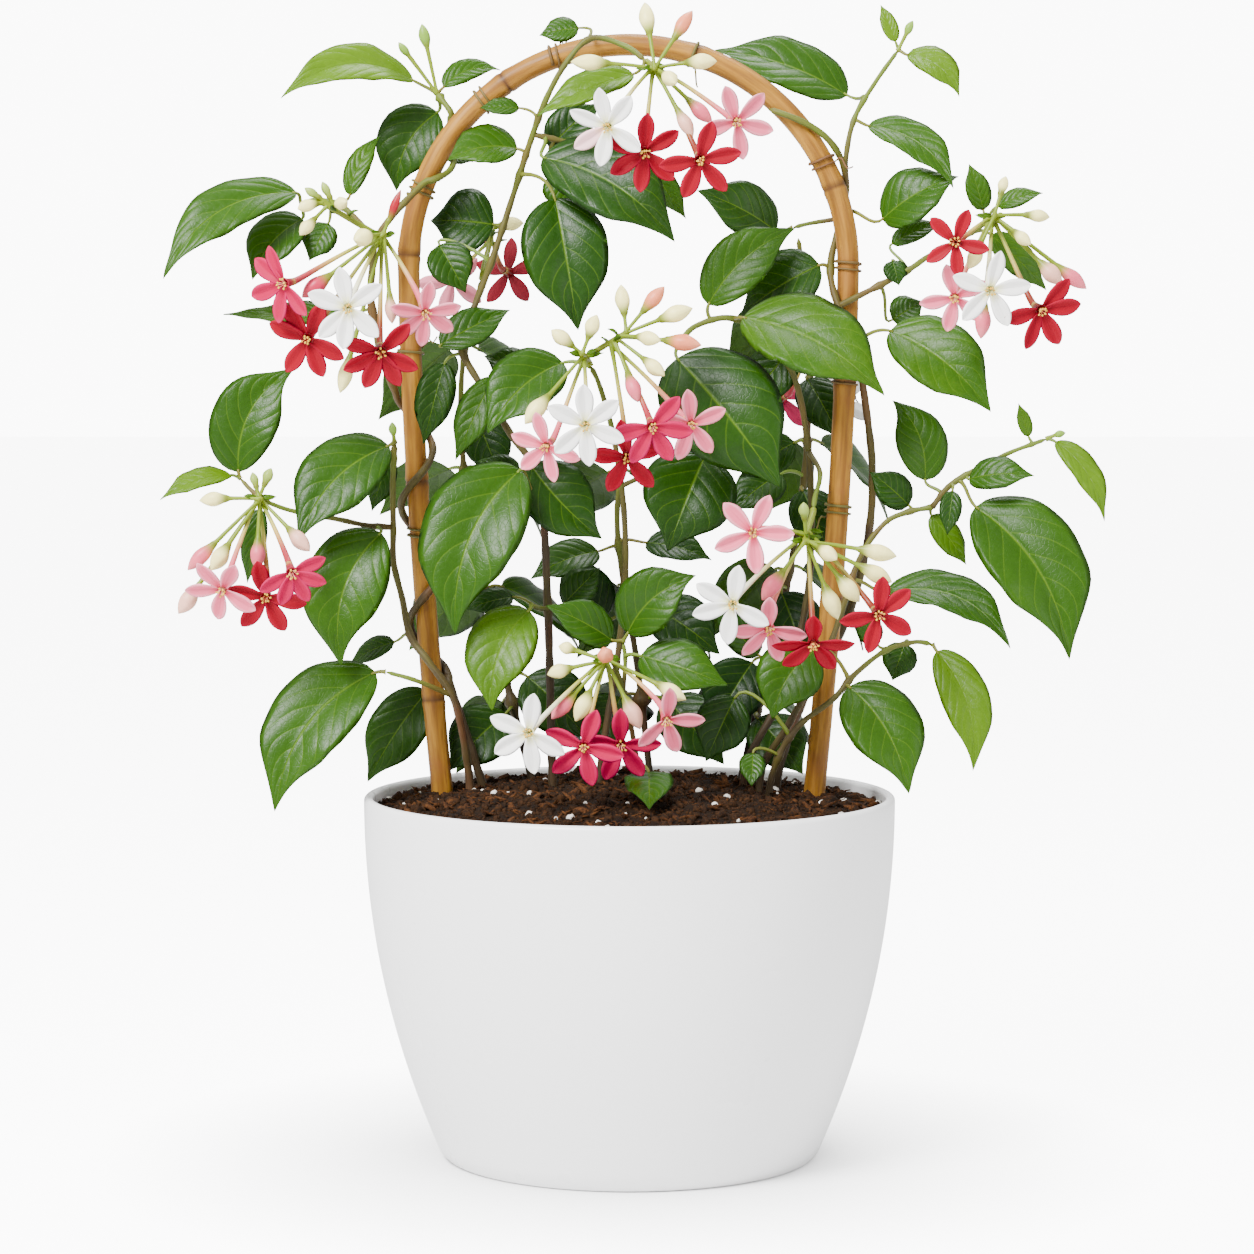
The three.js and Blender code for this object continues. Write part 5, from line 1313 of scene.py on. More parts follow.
def make_soil():
    """The mound. Gives back its bare top, for the potting mix to be spread over."""
    levels = np.linspace(SOIL_SIDE_START, SOIL_EDGE_HEIGHT - SOIL_SIDE_STOP, SOIL_SIDE_LEVELS)
    base = [(0, SOIL_BASE_HEIGHT), (POT_FOOT_RADIUS - POT_WALL - SOIL_BASE_INSET, SOIL_BASE_HEIGHT)]
    side = [(pot_radius(z) - POT_WALL - CLEARANCE, z) for z in levels]
    top = [(SOIL_RADIUS * share, SOIL_EDGE_HEIGHT) for share in np.linspace(1, 0, SOIL_RINGS)]
    points = turned([*base, *side, *top], SOIL_SEGMENTS)
    crown = points[-SOIL_RINGS:]
    crown[..., 2] = soil_height(crown[..., 0], crown[..., 1])
    whole = Surface()
    whole.grid(points, closed=True)
    dress(whole.piece("soil_mound", [EARTH["earth"]]), "soil", "soil")
    bare = Surface()
    bare.grid(crown, closed=True)
    return bare.piece("soil_top", [EARTH["earth"]])


def grain(name, material, seed, subdivisions, proportions, roughness):
    """A rough grain about a millimetre across, as a shape to be repeated."""
    draw = repeatable(seed)
    whole = bmesh.new()
    bmesh.ops.create_icosphere(whole, subdivisions=subdivisions, radius=GRAIN_RADIUS * MM)
    for vertex in whole.verts:
        swell = 1 + roughness * (2 * draw() - 1)
        vertex.co = Vector([c * s * swell for c, s in zip(vertex.co, proportions)])
    mesh = bpy.data.meshes.new(name)
    whole.to_mesh(mesh)
    whole.free()
    mesh.materials.append(material)
    return bpy.data.objects.new(name, mesh)


def fibre(name, material, seed):
    """A curled thread of bark or root, about ten millimetres long."""
    draw = repeatable(seed)
    knots = [(FIBRE_KNOT_GAP * i, FIBRE_WANDER * (draw() - 0.5), FIBRE_RISE * (draw() - 0.3))
             for i in range(FIBRE_KNOTS)]
    line = spread_along(spline(knots), FIBRE_POINTS) - (FIBRE_LENGTH / 2, 0, 0)
    surface = Surface()
    surface.tube(line, FIBRE_RADIUS - FIBRE_TAPER * np.abs(np.linspace(-1, 1, FIBRE_POINTS)), FIBRE_SIDES)
    made = surface.piece(name, [material])
    bpy.context.scene.collection.objects.unlink(made)
    return made


def make_scatter():
    """Geometry nodes: shapes spread over a surface, each turned and sized at random."""
    tree = bpy.data.node_groups.new("scatter", "GeometryNodeTree")
    for label, kind in (("Surface", "NodeSocketGeometry"), ("Shapes", "NodeSocketCollection"),
                        ("Density", FLOAT), ("Smallest", FLOAT), ("Largest", FLOAT), ("Tilt", FLOAT),
                        ("Seed", "NodeSocketInt"), ("Material", "NodeSocketMaterial")):
        tree.interface.new_socket(label, in_out="INPUT", socket_type=kind)
    tree.interface.new_socket("Grains", in_out="OUTPUT", socket_type="NodeSocketGeometry")
    given = tree.nodes.new("NodeGroupInput").outputs
    out = tree.nodes.new("NodeGroupOutput")
    points = put(tree, "GeometryNodeDistributePointsOnFaces",
                 {"Mesh": given["Surface"], "Density": given["Density"], "Seed": given["Seed"]})
    shapes = put(tree, "GeometryNodeCollectionInfo",
                 {"Collection": given["Shapes"], "Separate Children": True, "Reset Children": True})
    tilt = given["Tilt"]
    back = maths(tree, "MULTIPLY", tilt, -1.0)
    low = put(tree, "ShaderNodeCombineXYZ", {0: back, 1: back, 2: -math.pi})
    high = put(tree, "ShaderNodeCombineXYZ", {0: tilt, 1: tilt, 2: math.pi})
    turn = put(tree, "FunctionNodeRandomValue", {0: low.outputs[0], 1: high.outputs[0],
                                                 "Seed": given["Seed"]}, data_type="FLOAT_VECTOR")
    size = put(tree, "FunctionNodeRandomValue", {2: given["Smallest"], 3: given["Largest"],
                                                 "Seed": given["Seed"]}, data_type="FLOAT")
    grains = put(tree, "GeometryNodeInstanceOnPoints",
                 {"Points": points.outputs["Points"], "Instance": shapes.outputs[0], "Pick Instance": True,
                  "Rotation": turn.outputs[0], "Scale": size.outputs[1]})
    real = put(tree, "GeometryNodeRealizeInstances", {0: grains.outputs[0]})
    done = put(tree, "GeometryNodeSetMaterial", {"Geometry": real.outputs[0], "Material": given["Material"]})
    tree.links.new(done.outputs[0], out.inputs[0])
    return tree


def scatter(mix, top, tree, shapes, material, seed):
    """Spreads one kind of grain over the mound's top, as a plain mesh."""
    group = bpy.data.collections.new(mix["piece"] + "_shapes")
    for shape in shapes:
        group.objects.link(shape)
    made = top.copy()
    made.data = top.data.copy()
    made.name = mix["piece"]
    bpy.context.scene.collection.objects.link(made)
    spread = made.modifiers.new("scatter", "NODES")
    spread.node_group = tree
    smallest, largest = mix["sizes"]
    values = {"Shapes": group, "Density": mix["density"], "Smallest": smallest, "Largest": largest,
              "Tilt": mix["tilt"], "Seed": seed, "Material": material}
    for item in tree.interface.items_tree:
        if item.in_out == "INPUT" and item.name in values:
            spread[item.identifier] = values[item.name]
    apply_modifiers(made)
    smooth_faces(made)
    dress(made, "soil")
    for shape in shapes:
        bpy.data.objects.remove(shape)
    bpy.data.collections.remove(group)


def make_potting_mix(top):
    tree = make_scatter()
    for k, mix in enumerate(MIX):
        material = EARTH[mix["matter"]]
        shapes = []
        for i in range(mix["forms"]):
            name = f"{mix['piece']}_{i}"
            seed = FORM_SEED + FORM_SEED_STEP * k + i
            if mix["grain"]:
                shapes.append(grain(name, material, seed, *mix["grain"]))
            else:
                shapes.append(fibre(name, material, seed))
        scatter(mix, top, tree, shapes, material, MIX_SEED + k)
    bpy.data.objects.remove(top)


# Hoop

def hoop_at(distance):
    """The hoop's centre line and the way outwards, by the distance from the left leg's buried end."""
    arch = math.pi * HOOP_RADIUS
    point = np.array(HOOP_CENTRE)
    if HOOP_LEG <= distance <= HOOP_LEG + arch:
        angle = (distance - HOOP_LEG) / HOOP_RADIUS
        outward = np.array([-math.cos(angle), 0, math.sin(angle)])
        point = point + outward * HOOP_RADIUS
    else:
        side = -1 if distance < HOOP_LEG else 1
        depth = HOOP_LEG - distance if distance < HOOP_LEG else distance - HOOP_LEG - arch
        pull = HOOP_LEG_PULL * min(1, depth / HOOP_LEG_SPAN) ** HOOP_LEG_BEND
        outward = np.array([side, 0, 0])
        point = point + (side * (HOOP_RADIUS - pull), 0, -depth)
    point[1] -= HOOP_SLANT * point[0]
    return point, outward


def twine(start, end, start_angle, end_angle, reach):
    """A line wound round the hoop, between two distances along it and two angles in degrees."""
    count = max(3, round(abs(end_angle - start_angle) / TWINE_STEP))
    points = []
    for share in np.linspace(0, 1, count):
        point, outward = hoop_at(start + (end - start) * share)
        angle = math.radians(start_angle + (end_angle - start_angle) * share)
        points.append(point + np.array([0, -1, 0]) * math.cos(angle) * reach
                      + outward * math.sin(angle) * reach)
    return points


def make_hoop():
    distances = np.arange(0, 2 * HOOP_LEG + math.pi * HOOP_RADIUS, HOOP_STEP)
    line = np.array([hoop_at(d)[0] for d in distances])
    nearest = np.min([np.abs(distances - joint) for joint in HOOP_JOINTS], axis=0)
    swell, mark = (sum(size * bell(nearest, width) for size, width in bells)
                   for bells in (JOINT_SWELL, JOINT_MARK))
    surface = Surface()
    surface.tube(line, HOOP_ROD_RADIUS + swell, HOOP_SIDES, tone=mark, pattern=CANE_PATTERN)
    dress(surface.piece("hoop_cane", [CANE]), "bamboo", "hoop")


def make_tendrils():
    """Thin dry tendrils that grip the hoop, each with a loose curled end."""
    surface = Surface()
    draw = repeatable(TENDRIL_SEED)
    for at, turns in TENDRILS:
        start = 360 * draw()
        wound = twine(at, at + TENDRIL_PITCH * turns, start, start + 360 * turns,
                      HOOP_ROD_RADIUS + TENDRIL_REACH)
        away = unit(wound[-1] - hoop_at(at)[0])
        loose = [wound[-1] + away * TENDRIL_STEP * k + (0, -TENDRIL_LEAN * k, TENDRIL_CURL * math.sin(2 * k))
                 for k in (1, 2, 3)]
        line = spread_along(spline([*wound, *loose]), round(TENDRIL_POINTS * turns))
        surface.tube(line, np.linspace(*TENDRIL_RADII, len(line)), TENDRIL_SIDES,
                     tint=blend(TENDRIL_BROWN, TENDRIL_GREEN, draw()))
    dress(surface.piece("hoop_tendrils", [TENDRIL]), "leaf")


# Stems and leaves

def stem_lines(stems):
    """The fine centre line of each of a vine's stems. A side stem starts on an earlier one."""
    lines = []
    for root_radius, tip_radius, points in stems:
        path = []
        for point in points:
            if point[0] == "twine":
                path += twine(*point[1:], HOOP_ROD_RADIUS + root_radius + TWINE_GAP)
            else:
                path.append(np.array(point, float))
        if lines:
            path[0] = nearest_on(lines, path[0])[0]
        line = spline(path)
        lines.append((line, np.interp(reach_of(line), [0, reach_of(line)[-1]], [root_radius, tip_radius])))
    return lines


def nearest_on(lines, target):
    """The nearest point of some stems: (point, radius there, the way the stem runs)."""
    best = None
    for line, radii in lines:
        away = np.linalg.norm(line - target, axis=1)
        k = int(away.argmin())
        if best is None or away[k] < best[0]:
            run = line[min(k + 2, len(line) - 1)] - line[max(k - 2, 0)]
            best = (away[k], line[k], radii[k], unit(run))
    return best[1:]


def grow_stem(surface, line, radii, tones, joints):
    """A stem with a swelling at each leaf's joint, a little crooked, with a rounded end."""
    reach = reach_of(line)
    count = max(6, round(reach[-1] / STEM_RING))
    at = np.linspace(0, reach[-1], count)
    path = spread_along(line, count)
    thick = np.interp(at, reach, radii)
    for joint in joints:
        away = np.linalg.norm(path - joint, axis=1)
        thick = thick * (1 + STEM_JOINT_SWELL * bell(away, STEM_JOINT_REACH * thick))
    thick = thick * (1 + sum(size * np.sin(at / wave + turn) for size, wave, turn in STEM_LUMPS))
    last = np.clip((at[-1] - at) / thick[-1], STEM_END_LEAST, 1)
    thick = thick * np.sqrt(1 - (1 - last) ** 2 * (1 - STEM_END_LEAST))
    surface.tube(path, thick, STEM_SIDES, tone=np.linspace(*tones, count), pattern=BARK_PATTERN)


def midrib_of(base, tip, bow, swerve, facing, v):
    """A blade's midrib at shares v of its length, and the ways along it, across it and upwards."""
    run = tip - base
    direction = unit(run)
    normal = unit(facing - direction * facing.dot(direction))
    side = np.cross(normal, direction)
    bend = 4 * v * (1 - v)
    middle = base + run * v[:, None] + normal * (bow * bend)[:, None] + side * (swerve * bend)[:, None]
    along = np.gradient(middle, axis=0)
    along /= np.linalg.norm(along, axis=1)[:, None]
    across = side - along * (along @ side)[:, None]
    across /= np.linalg.norm(across, axis=1)[:, None]
    return middle, along, across, np.cross(along, across)


def blade_half(v):
    """A blade's half width along its midrib, as a share of its widest: round below, drawn out above."""
    outline = v**BLADE_ROUND_BASE * (1 - v) ** BLADE_TAPER / BLADE_WIDEST
    return outline * (1 - BLADE_TIP_DRAW * smooth_step(v, *BLADE_TIP_SPAN))


def grow_blade(surface, base, tip, width, bow, swerve, tone, facing, draw):
    """A blade with a closed rim: a folded, waved upper face and a ribbed back. Gives the way it starts."""
    length = np.linalg.norm(tip - base)
    rows = int(np.clip(length / BLADE_ROW, *BLADE_ROWS))
    even = np.linspace(0, 1, rows)
    v = BLADE_END_ROWS * (0.5 - 0.5 * np.cos(math.pi * even)) + (1 - BLADE_END_ROWS) * even
    middle, along, across, upward = midrib_of(base, tip, bow, swerve, facing, v)
    twist = BLADE_TWIST[0] * (draw() - 0.5) * v**2 + BLADE_TWIST[1] * (draw() - 0.5) * np.sin(math.pi * v)
    c, s = np.cos(twist)[:, None], np.sin(twist)[:, None]
    across, upward = c * across + s * upward, c * upward - s * across
    half = width / 2 * np.maximum(blade_half(v), 0.0)[:, None]
    lay = np.linspace(-1, 1, SMALL_BLADE_COLUMNS if width < SMALL_BLADE else BLADE_COLUMNS)
    edge = np.abs(lay)
    fold = (BLADE_FOLD[0] + BLADE_FOLD[1] * (draw() - 0.5)) * edge
    fold = fold - (BLADE_CURL[0] + BLADE_CURL[1] * (draw() - 0.5)) * edge**BLADE_CURL_POWER
    height = half * 2 * fold * BLADE_FOLD_DEPTH
    for size, turns in BLADE_WAVES:
        way = v[:, None] * turns * 2 * math.pi + BLADE_WAVE_PHASE * draw() + BLADE_WAVE_SHIFT * np.sign(lay)
        rim = edge**BLADE_WAVE_POWER * np.sqrt(v * (1 - v) * 4)[:, None]
        height = height + size * length * np.sin(way) * rim
    rib = RIB_HEIGHT * bell(half * lay, RIB_HALF_WIDTH) * (1 - RIB_TAPER * v)[:, None]
    body = BLADE_THICKNESS * (1 - edge**6) + rib * (1 - edge)
    spot = middle[:, None] + across[:, None] * (half * lay)[..., None]
    upper = spot + upward[:, None] * height[..., None]
    lower = spot + upward[:, None] * (height - body)[..., None]
    surface.sheet(upper, lower, LEAF_SLOT, v, tone=tone)
    return along[0]


def grow_petiole(surface, root, stem_way, base, way, length, width, draw):
    """A curved stalk from a stem into the start of a blade."""
    gap = np.linalg.norm(base - root)
    leave = unit(unit(base - root) + PETIOLE_LEAN * stem_way)
    line = bezier(root + stem_way * PETIOLE_SHIFT, root + leave * gap * PETIOLE_CURVES[0],
                  base - way * gap * PETIOLE_CURVES[1], base + way * length * PETIOLE_LAP, PETIOLE_POINTS)
    thick = np.interp(np.linspace(0, 1, PETIOLE_POINTS), *zip(*PETIOLE_RADII))
    thick = thick * (PETIOLE_THIN + (1 - PETIOLE_THIN) * min(1, width / BROAD_BLADE))
    surface.tube(line, thick, PETIOLE_SIDES, PETIOLE_SLOT,
                 tint=blend(PETIOLE_GREEN, PETIOLE_RED, PETIOLE_REDNESS * draw()))


def grow_leaf(surface, root, stem_way, leaf, facing, draw):
    base, tip, width, bow, swerve, tone = leaf
    base, tip = np.array(base, float), np.array(tip, float)
    way = grow_blade(surface, base, tip, width, bow, swerve, tone, facing, draw)
    grow_petiole(surface, root, stem_way, base, way, np.linalg.norm(tip - base), width, draw)


def grow_bud(surface, root, tip, length, width, colour, slot, collar=True):
    """A bud on its own arched stalk: a green collar, five soft keels and a drawn out point."""
    run = tip - root
    reach = np.linalg.norm(run)
    share = np.linspace(0, 1, BUD_POINTS)
    line = root + run * share[:, None]
    line[:, 2] += PEDICEL_ARCH * (1 - abs(run[2] / reach)) * share * (1 - share)
    neck = 1 - min(length, reach * BUD_SHARE) / reach
    own = np.clip((share - neck) / (1 - neck), 0, 1)
    beyond = (share - neck) * reach
    outline = np.interp(own, *zip(*BUD_OUTLINE)) * width
    stalk = PEDICEL_RADIUS + PEDICEL_GROWTH * share**1.5
    stalk = stalk + PEDICEL_FOOT * bell(share * reach, PEDICEL_FOOT_REACH)
    thick = np.where(own > 0, np.maximum(outline, stalk * (1 - own)), stalk)
    tint = blend(STALK_GREEN, colour, smooth_step(own, *BUD_COLOUR_SPAN))
    tip_tint = np.array(colour) * BUD_TIP_SHADE + BUD_TIP_PALE
    tint = blend(tint, tip_tint, BUD_TIP_SHARE * smooth_step(own, *BUD_TIP_SPAN))
    if collar:
        thick = thick + BUD_COLLAR * bell(beyond, BUD_COLLAR_REACH)
        tint = blend(tint, CALYX_BROWN, CALYX_SHARE * bell(beyond, CALYX_REACH))
    angle = np.linspace(0, 2 * math.pi, BUD_SIDES, endpoint=False)
    keel = BUD_KEEL_HEIGHT * smooth_step(own, *BUD_KEEL_SPAN)[:, None] * np.cos(BUD_KEELS * angle)[None]
    surface.tube(line, thick[:, None] * (1 + keel), BUD_SIDES, slot, tint=tint)


def back_leaves(vine):
    """The paired leaves of a vine behind the hoop, drawn as the solids are."""
    draw = repeatable(vine["seed"])
    line = spline(vine["path"], 60)
    reach = reach_of(line)
    leaves = []
    for i in range(vine["pairs"] * 2):
        share = vine["from"] + (BACK_TO - vine["from"]) * (i // 2) / (vine["pairs"] - 1)
        node = np.array([np.interp(share * reach[-1], reach, line[:, k]) for k in range(3)])
        spread, droop, length = (low + (high - low) * draw()
                                 for low, high in (BACK_SPREAD, BACK_DROOP, BACK_LENGTH))
        azimuth = math.radians(180 - spread if i % 2 else spread)
        droop = math.radians(droop)
        out = np.array([math.cos(azimuth), math.sin(azimuth), 0])
        base = node + out * BACK_PETIOLE + (0, 0, BACK_PETIOLE * BACK_RISE)
        tip = base + out * length * math.cos(droop) - (0, 0, length * math.sin(droop))
        # Painted shade: the tone is lowest near the root, deep in the foliage.
        tone = BACK_SHADED_TONE[0] + (BACK_SHADED_TONE[1] - BACK_SHADED_TONE[0]) * share
        leaves.append(((base, tip, length * BACK_ASPECT, length * BACK_BOW, 0, BACK_LIFT, tone), azimuth))
    return leaves + [(leaf, FRONT_LEAF_TURN) for leaf in vine["low"]]


def facing_of(turn, lift):
    """The way a leaf's upper face looks: turned from the front, and lifted, in radians and degrees."""
    lift = math.radians(lift)
    return np.array([math.sin(turn) * math.cos(lift), -math.cos(turn) * math.cos(lift), math.sin(lift)])


def make_vine(vine, number):
    surface = Surface()
    draw = repeatable(VINE_SEED + number)
    back = "pairs" in vine
    stems = [(*BACK_RADII, vine["path"])] if back else vine["stems"]
    leaves = back_leaves(vine) if back else [(leaf, FRONT_LEAF_TURN) for leaf in vine["leaves"]]
    lines = stem_lines(stems)
    roots = [nearest_on(lines, np.array(leaf[0], float)) for leaf, _ in leaves]
    for k, (line, radii) in enumerate(lines):
        grow_stem(surface, line, radii, SIDE_STEM_TONES if k else MAIN_STEM_TONES,
                  [root for root, _, _ in roots])
    for (leaf, turn), (root, _, way) in zip(leaves, roots):
        base, tip, width, bow, swerve, lift, tone = leaf
        blade = (base, tip, width, bow, swerve, tone + LEAF_TONE_SPREAD * (draw() - 0.5))
        grow_leaf(surface, root, way, blade, facing_of(turn, lift), draw)
    for root, tip, length, width in vine.get("buds", ()):
        start = nearest_on(lines, np.array(root, float))[0]
        grow_bud(surface, start, np.array(tip, float), length, width, YOUNG_GREEN, PETIOLE_SLOT, False)
    dress(surface.piece(vine["name"] + "_leafy", [BARK, LEAF, STALK]), "leaf", vine["name"])
    return lines


# Flowers

def cluster_start(cluster, lines):
    """The first two points of a cluster's stalk: off a stem's end, or off its side."""
    if "point" in cluster:
        point, radius, _ = nearest_on(lines, np.array(cluster["point"], float))
        way = unit(np.array(cluster["heads"][0]) - point)
        return [point + way * (radius + gap) for gap in (STALK_GAP, STALK_LEAD)]
    line, _ = lines[cluster["stem"]]
    way = unit(line[-1] - line[-2])
    return [line[-1] + way * gap for gap in (CLEARANCE, STALK_LEAD)]


def floret_frame(centre, diameter, faces):
    """A floret's centre and radius, and the ways it faces, to its right and upwards."""
    axis = unit(faces)
    right = unit(np.cross((0, 0, 1), axis))
    return np.array(centre, float), diameter / 2, axis, right, np.cross(axis, right)


def grow_tube(surface, root, floret):
    """A floret's long tube: green at the head, cream, then the petals' colour at the throat."""
    centre, _, faces, _, colour, _ = floret
    axis = unit(faces)
    end = np.array(centre, float) - axis * (THROAT_LENGTH + CLEARANCE)
    bend = end - axis * TUBE_BEND
    crest = (root + bend) / 2 + (0, 0, PEDICEL_ARCH)
    line = bezier(root, crest, bend, end, TUBE_POINTS)
    share = np.linspace(0, 1, TUBE_POINTS)
    far = (np.array(PETALS[colour]["base"]) + PETALS[colour]["blade"]) / 2
    tint = blend(STALK_GREEN, TUBE_CREAM, smooth_step(share, *TUBE_CREAM_SPAN))
    tint = blend(tint, far, TUBE_COLOUR_SHARE * smooth_step(share, *TUBE_COLOUR_SPAN))
    radii = TUBE_RADIUS + TUBE_GROWTH * share**1.6 + TUBE_FOOT * bell(share, TUBE_FOOT_SHARE)
    surface.tube(line, radii, TUBE_SIDES, tint=tint)


def grow_bract(surface, head, axis, i, draw):
    """A narrow leaflet at a cluster's head."""
    turn = BRACT_TURN * i
    way = unit(axis * 0.5 + (math.cos(turn), math.sin(turn), 0.2 * draw()))
    base = head + axis * (BRACT_STEP * i - BRACT_BELOW) + way * BRACT_OFFSET
    length = BRACT_LENGTH[0] + (BRACT_LENGTH[1] - BRACT_LENGTH[0]) * draw()
    bract = (base, base + way * length, BRACT_WIDTH, BRACT_BOW, 0, BRACT_TONE)
    grow_leaf(surface, base - way * BRACT_OFFSET, axis, bract, unit(axis + (0, -0.4, 0.2)), draw)


def make_cluster(cluster, lines, number):
    surface = Surface()
    draw = repeatable(CLUSTER_SEED + number)
    heads = [np.array(head, float) for head in cluster["heads"]]
    stalk = [*cluster_start(cluster, lines), heads[0]]
    fork = heads[0] + (stalk[1] - heads[0]) * RACHIS_FORK
    for k, head in enumerate(heads):
        points = [fork, head] if k else stalk
        axis = unit(points[-1] - points[-2])
        line = spread_along(spline([*points, head + axis * RACHIS_LENGTH]), RACHIS_POINTS)
        surface.tube(line, np.linspace(*RACHIS_RADII, RACHIS_POINTS), RACHIS_SIDES,
                     tint=blend(STALK_GREEN, PETIOLE_RED, RACHIS_REDNESS))
        own = ([("bud", bud) for bud in cluster["buds"] if bud[3] == k]
               + [("floret", floret) for floret in cluster["florets"] if floret[5] == k])
        for i, (kind, one) in enumerate(own):
            share = 1 - i / max(1, len(own) - 1)
            root = head + axis * ((RACHIS_LENGTH + RACHIS_SUNK / 2) * share - RACHIS_SUNK)
            if kind == "floret":
                grow_tube(surface, root, one)
            else:
                tip, length, width, _, colour = one
                grow_bud(surface, root, np.array(tip, float), length, width, BUDS[colour], STALK_SLOT)
        for i in range(BRACTS):
            grow_bract(surface, head, axis, i, draw)
    dress(surface.piece(f"cluster_{cluster['name']}_stalks", [STALK, LEAF, STALK]), "flower_stalk",
          f"cluster_{cluster['name']}")


def grow_petal(surface, frame_of, angle, order, draw, tint):
    """One petal: narrow at the throat, broad past its middle, blunt, waved and a little twisted."""
    centre, radius, axis, right, upward = frame_of
    angle = math.radians(angle)
    out = math.cos(angle) * right + math.sin(angle) * upward
    beside = -math.sin(angle) * right + math.cos(angle) * upward
    even = np.linspace(0, 1, PETAL_ROWS)
    reach = PETAL_START + (1 - PETAL_START) * (0.5 * even + 0.5 * np.sin(even * math.pi / 2))
    half = np.interp(reach, *zip(*PETAL_OUTLINE)) * radius * (PETAL_WIDTH[0] + PETAL_WIDTH[1] * draw())
    lay = np.linspace(-1, 1, PETAL_COLUMNS)
    edge = np.abs(lay)
    lift = PETAL_LIFT[order % 2] * smooth_step(reach, *PETAL_LIFT_SPAN)
    fall = PETAL_TIP_FALL * (draw() + 0.2) * reach**5
    rise = PETAL_CUP * reach**2 - fall + lift + (draw() - 0.5) * reach
    twist = PETAL_TWIST[0] * (draw() - 0.5) + PETAL_TWIST[1] * (draw() - 0.5) * reach
    swerve = radius * PETAL_SWERVE * (draw() - 0.5) * reach**2
    trough = PETAL_TROUGH * (draw() + 0.5)
    ripple = PETAL_RIPPLE * np.sin(reach[:, None] * 9 + 2 * lay + 6 * draw()) * edge
    height = half[:, None] * (trough * edge**1.6 - PETAL_RIDGE * np.cos(5 * edge)) + ripple
    across = half[:, None] * lay
    c, s = np.cos(twist)[:, None], np.sin(twist)[:, None]
    over = across * c - height * s + swerve[:, None]
    up = across * s + height * c + rise[:, None]
    body = (PETAL_THICKNESS * (1 - edge**4))[None] * (1 - 0.5 * reach)[:, None]
    spot = centre + out * (reach * radius)[:, None, None] + beside * over[..., None]
    surface.sheet(spot + axis * up[..., None], spot + axis * (up - body)[..., None], 0, reach, tint=tint,
                  caps=True)


def grow_throat(surface, frame_of, colour):
    """The funnel in a floret's middle: its tube's end outside, and its glowing mouth."""
    centre, _, axis, right, upward = frame_of
    circle = np.linspace(0, 2 * math.pi, THROAT_SIDES, endpoint=False)
    ring = np.cos(circle)[:, None] * right + np.sin(circle)[:, None] * upward
    funnel = np.array([centre + ring * radius + axis * z for radius, z in THROAT_OUTLINE])
    depth = np.array([-z for _, z in THROAT_OUTLINE])
    outside = np.arange(len(depth)) <= THROAT_OUTSIDE
    glow = blend(PETALS[colour]["base"], THROATS[colour], smooth_step(depth, 0.4, 2.4) * ~outside)
    glow = blend(glow, TUBE_CREAM, 0.5 * smooth_step(depth, 4, 8) * outside)
    surface.grid(funnel, THROAT_SLOT, tint=glow[:, None], closed=True)


def grow_stamen(surface, frame_of, colour, i, draw):
    """A leaning filament with its anther across the end."""
    centre, _, axis, right, upward = frame_of
    turn = 2 * math.pi * (i + 0.6 * draw()) / STAMENS
    way = math.cos(turn) * right + math.sin(turn) * upward
    high = STAMEN_LENGTH * (0.55 + 0.45 * draw()) * (1 if i % 2 else SHORT_STAMEN)
    lean = STAMEN_LEAN[0] + STAMEN_LEAN[1] * draw()
    line = bezier(centre + way * 0.6 - axis * STAMEN_ROOT, centre + way * 0.7,
                  centre + way * lean * 0.8 + axis * high * 0.6, centre + way * lean + axis * high,
                  FILAMENT_POINTS)
    surface.tube(line, FILAMENT_RADIUS, FILAMENT_SIDES, STAMEN_SLOT, tint=FILAMENTS[colour])
    knob = np.array([line[-1] + way * at for at, _ in ANTHER_OUTLINE])
    surface.tube(knob, [radius for _, radius in ANTHER_OUTLINE], ANTHER_SIDES, STAMEN_SLOT, tint=ANTHER)


def make_floret(cluster, number, seed):
    centre, diameter, faces, angles, colour, _ = cluster["florets"][number]
    frame_of = floret_frame(centre, diameter, faces)
    draw = repeatable(seed)
    surface = Surface()
    for order, angle in enumerate(sorted(angles)):
        shade = np.full(3, PETAL_SHADE[0] + PETAL_SHADE[1] * draw())
        if (cluster["name"], number, angle) == BLUSHED_PETAL:
            shade = np.array(BLUSH)
        grow_petal(surface, frame_of, angle, order, draw, shade)
    grow_throat(surface, frame_of, colour)
    for i in range(STAMENS):
        grow_stamen(surface, frame_of, colour, i, draw)
    name = f"floret_{cluster['name']}_{number + 1}_{colour}"
    dress(surface.piece(name + "_bloom", [PETAL[colour], STALK, STAMEN]), f"petal_{colour}", name)


# Stage, light and camera

def soft_light(name, place, aim, size, power):
    data = bpy.data.lights.new(name, "AREA")
    data.shape = "DISK"
    data.size = size
    data.energy = power
    lamp = bpy.data.objects.new(name, data)
    lamp.location = place
    lamp.rotation_euler = (Vector(aim) - Vector(place)).to_track_quat("-Z", "Y").to_euler()
    bpy.context.scene.collection.objects.link(lamp)


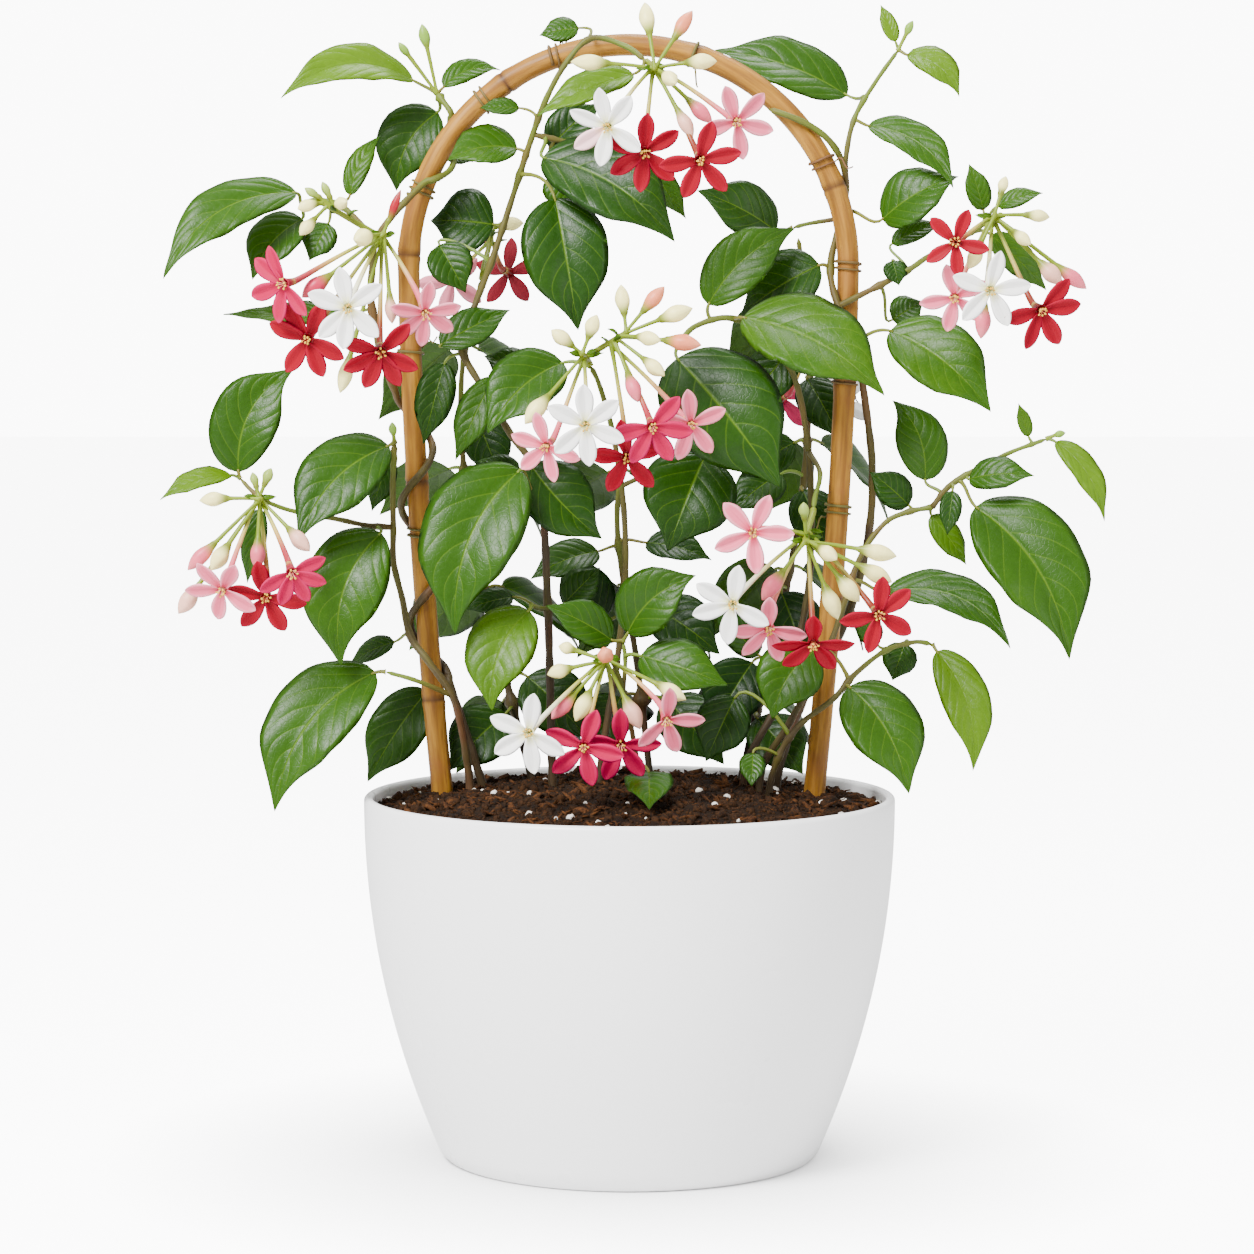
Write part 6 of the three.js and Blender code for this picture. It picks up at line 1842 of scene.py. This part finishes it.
def make_floor():
    """A pale floor that glows to the camera, less where the pot shades it."""
    bpy.ops.mesh.primitive_plane_add(size=FLOOR_SIZE)
    floor = bpy.context.object
    floor.name = "floor"
    floor.location = (0, 0, 0)
    material, tree, shader = new_tree("pale_floor")
    shader.inputs["Base Color"].default_value = rgba(FLOOR_WHITE)
    shader.inputs["Roughness"].default_value = 0.5
    shader.inputs["Emission Color"].default_value = rgba((1, 1, 1))
    seen = put(tree, "ShaderNodeLightPath").outputs["Is Camera Ray"]
    open_air = put(tree, "ShaderNodeAmbientOcclusion", {"Distance": CONTACT_REACH}).outputs["AO"]
    glow = maths(tree, "MULTIPLY", maths(tree, "POWER", open_air, CONTACT_DEPTH), FLOOR_GLOW)
    tree.links.new(maths(tree, "MULTIPLY", seen, glow), shader.inputs["Emission Strength"])
    floor.data.materials.append(material)


def make_sky():
    """An even white light, brighter where the camera sees it."""
    world = bpy.data.worlds.new("studio")
    world.use_nodes = True
    tree = world.node_tree
    sky = tree.nodes["Background"]
    seen = put(tree, "ShaderNodeLightPath").outputs["Is Camera Ray"]
    strength = ranged(tree, seen, 0.0, 1.0, WORLD_LIGHT, BACKDROP_LIGHT, smooth=False)
    sky.inputs["Color"].default_value = rgba((1, 1, 1))
    tree.links.new(strength, sky.inputs["Strength"])
    bpy.context.scene.world = world


def make_camera():
    data = bpy.data.cameras.new("camera")
    data.lens = CAMERA_LENS
    data.sensor_width = CAMERA_SENSOR
    camera = bpy.data.objects.new("camera", data)
    camera.location = [MM * c for c in CAMERA_PLACE]
    camera.rotation_euler = (math.radians(90 - CAMERA_DIP), 0, 0)
    bpy.context.scene.collection.objects.link(camera)
    bpy.context.scene.camera = camera


make_floor()
make_sky()
for name, lamp in LAMPS.items():
    soft_light(name, *lamp)
make_camera()
make_pot()
make_potting_mix(make_soil())
make_hoop()
make_tendrils()
GROWN = {vine["name"]: make_vine(vine, i) for i, vine in enumerate(VINES + BACK_VINES)}
for order, cluster in enumerate(CLUSTERS):
    make_cluster(cluster, GROWN[cluster["vine"]], order)
    for k in range(len(cluster["florets"])):
        make_floret(cluster, k, FLORET_SEED + FLORET_SEED_STEP * order + k)
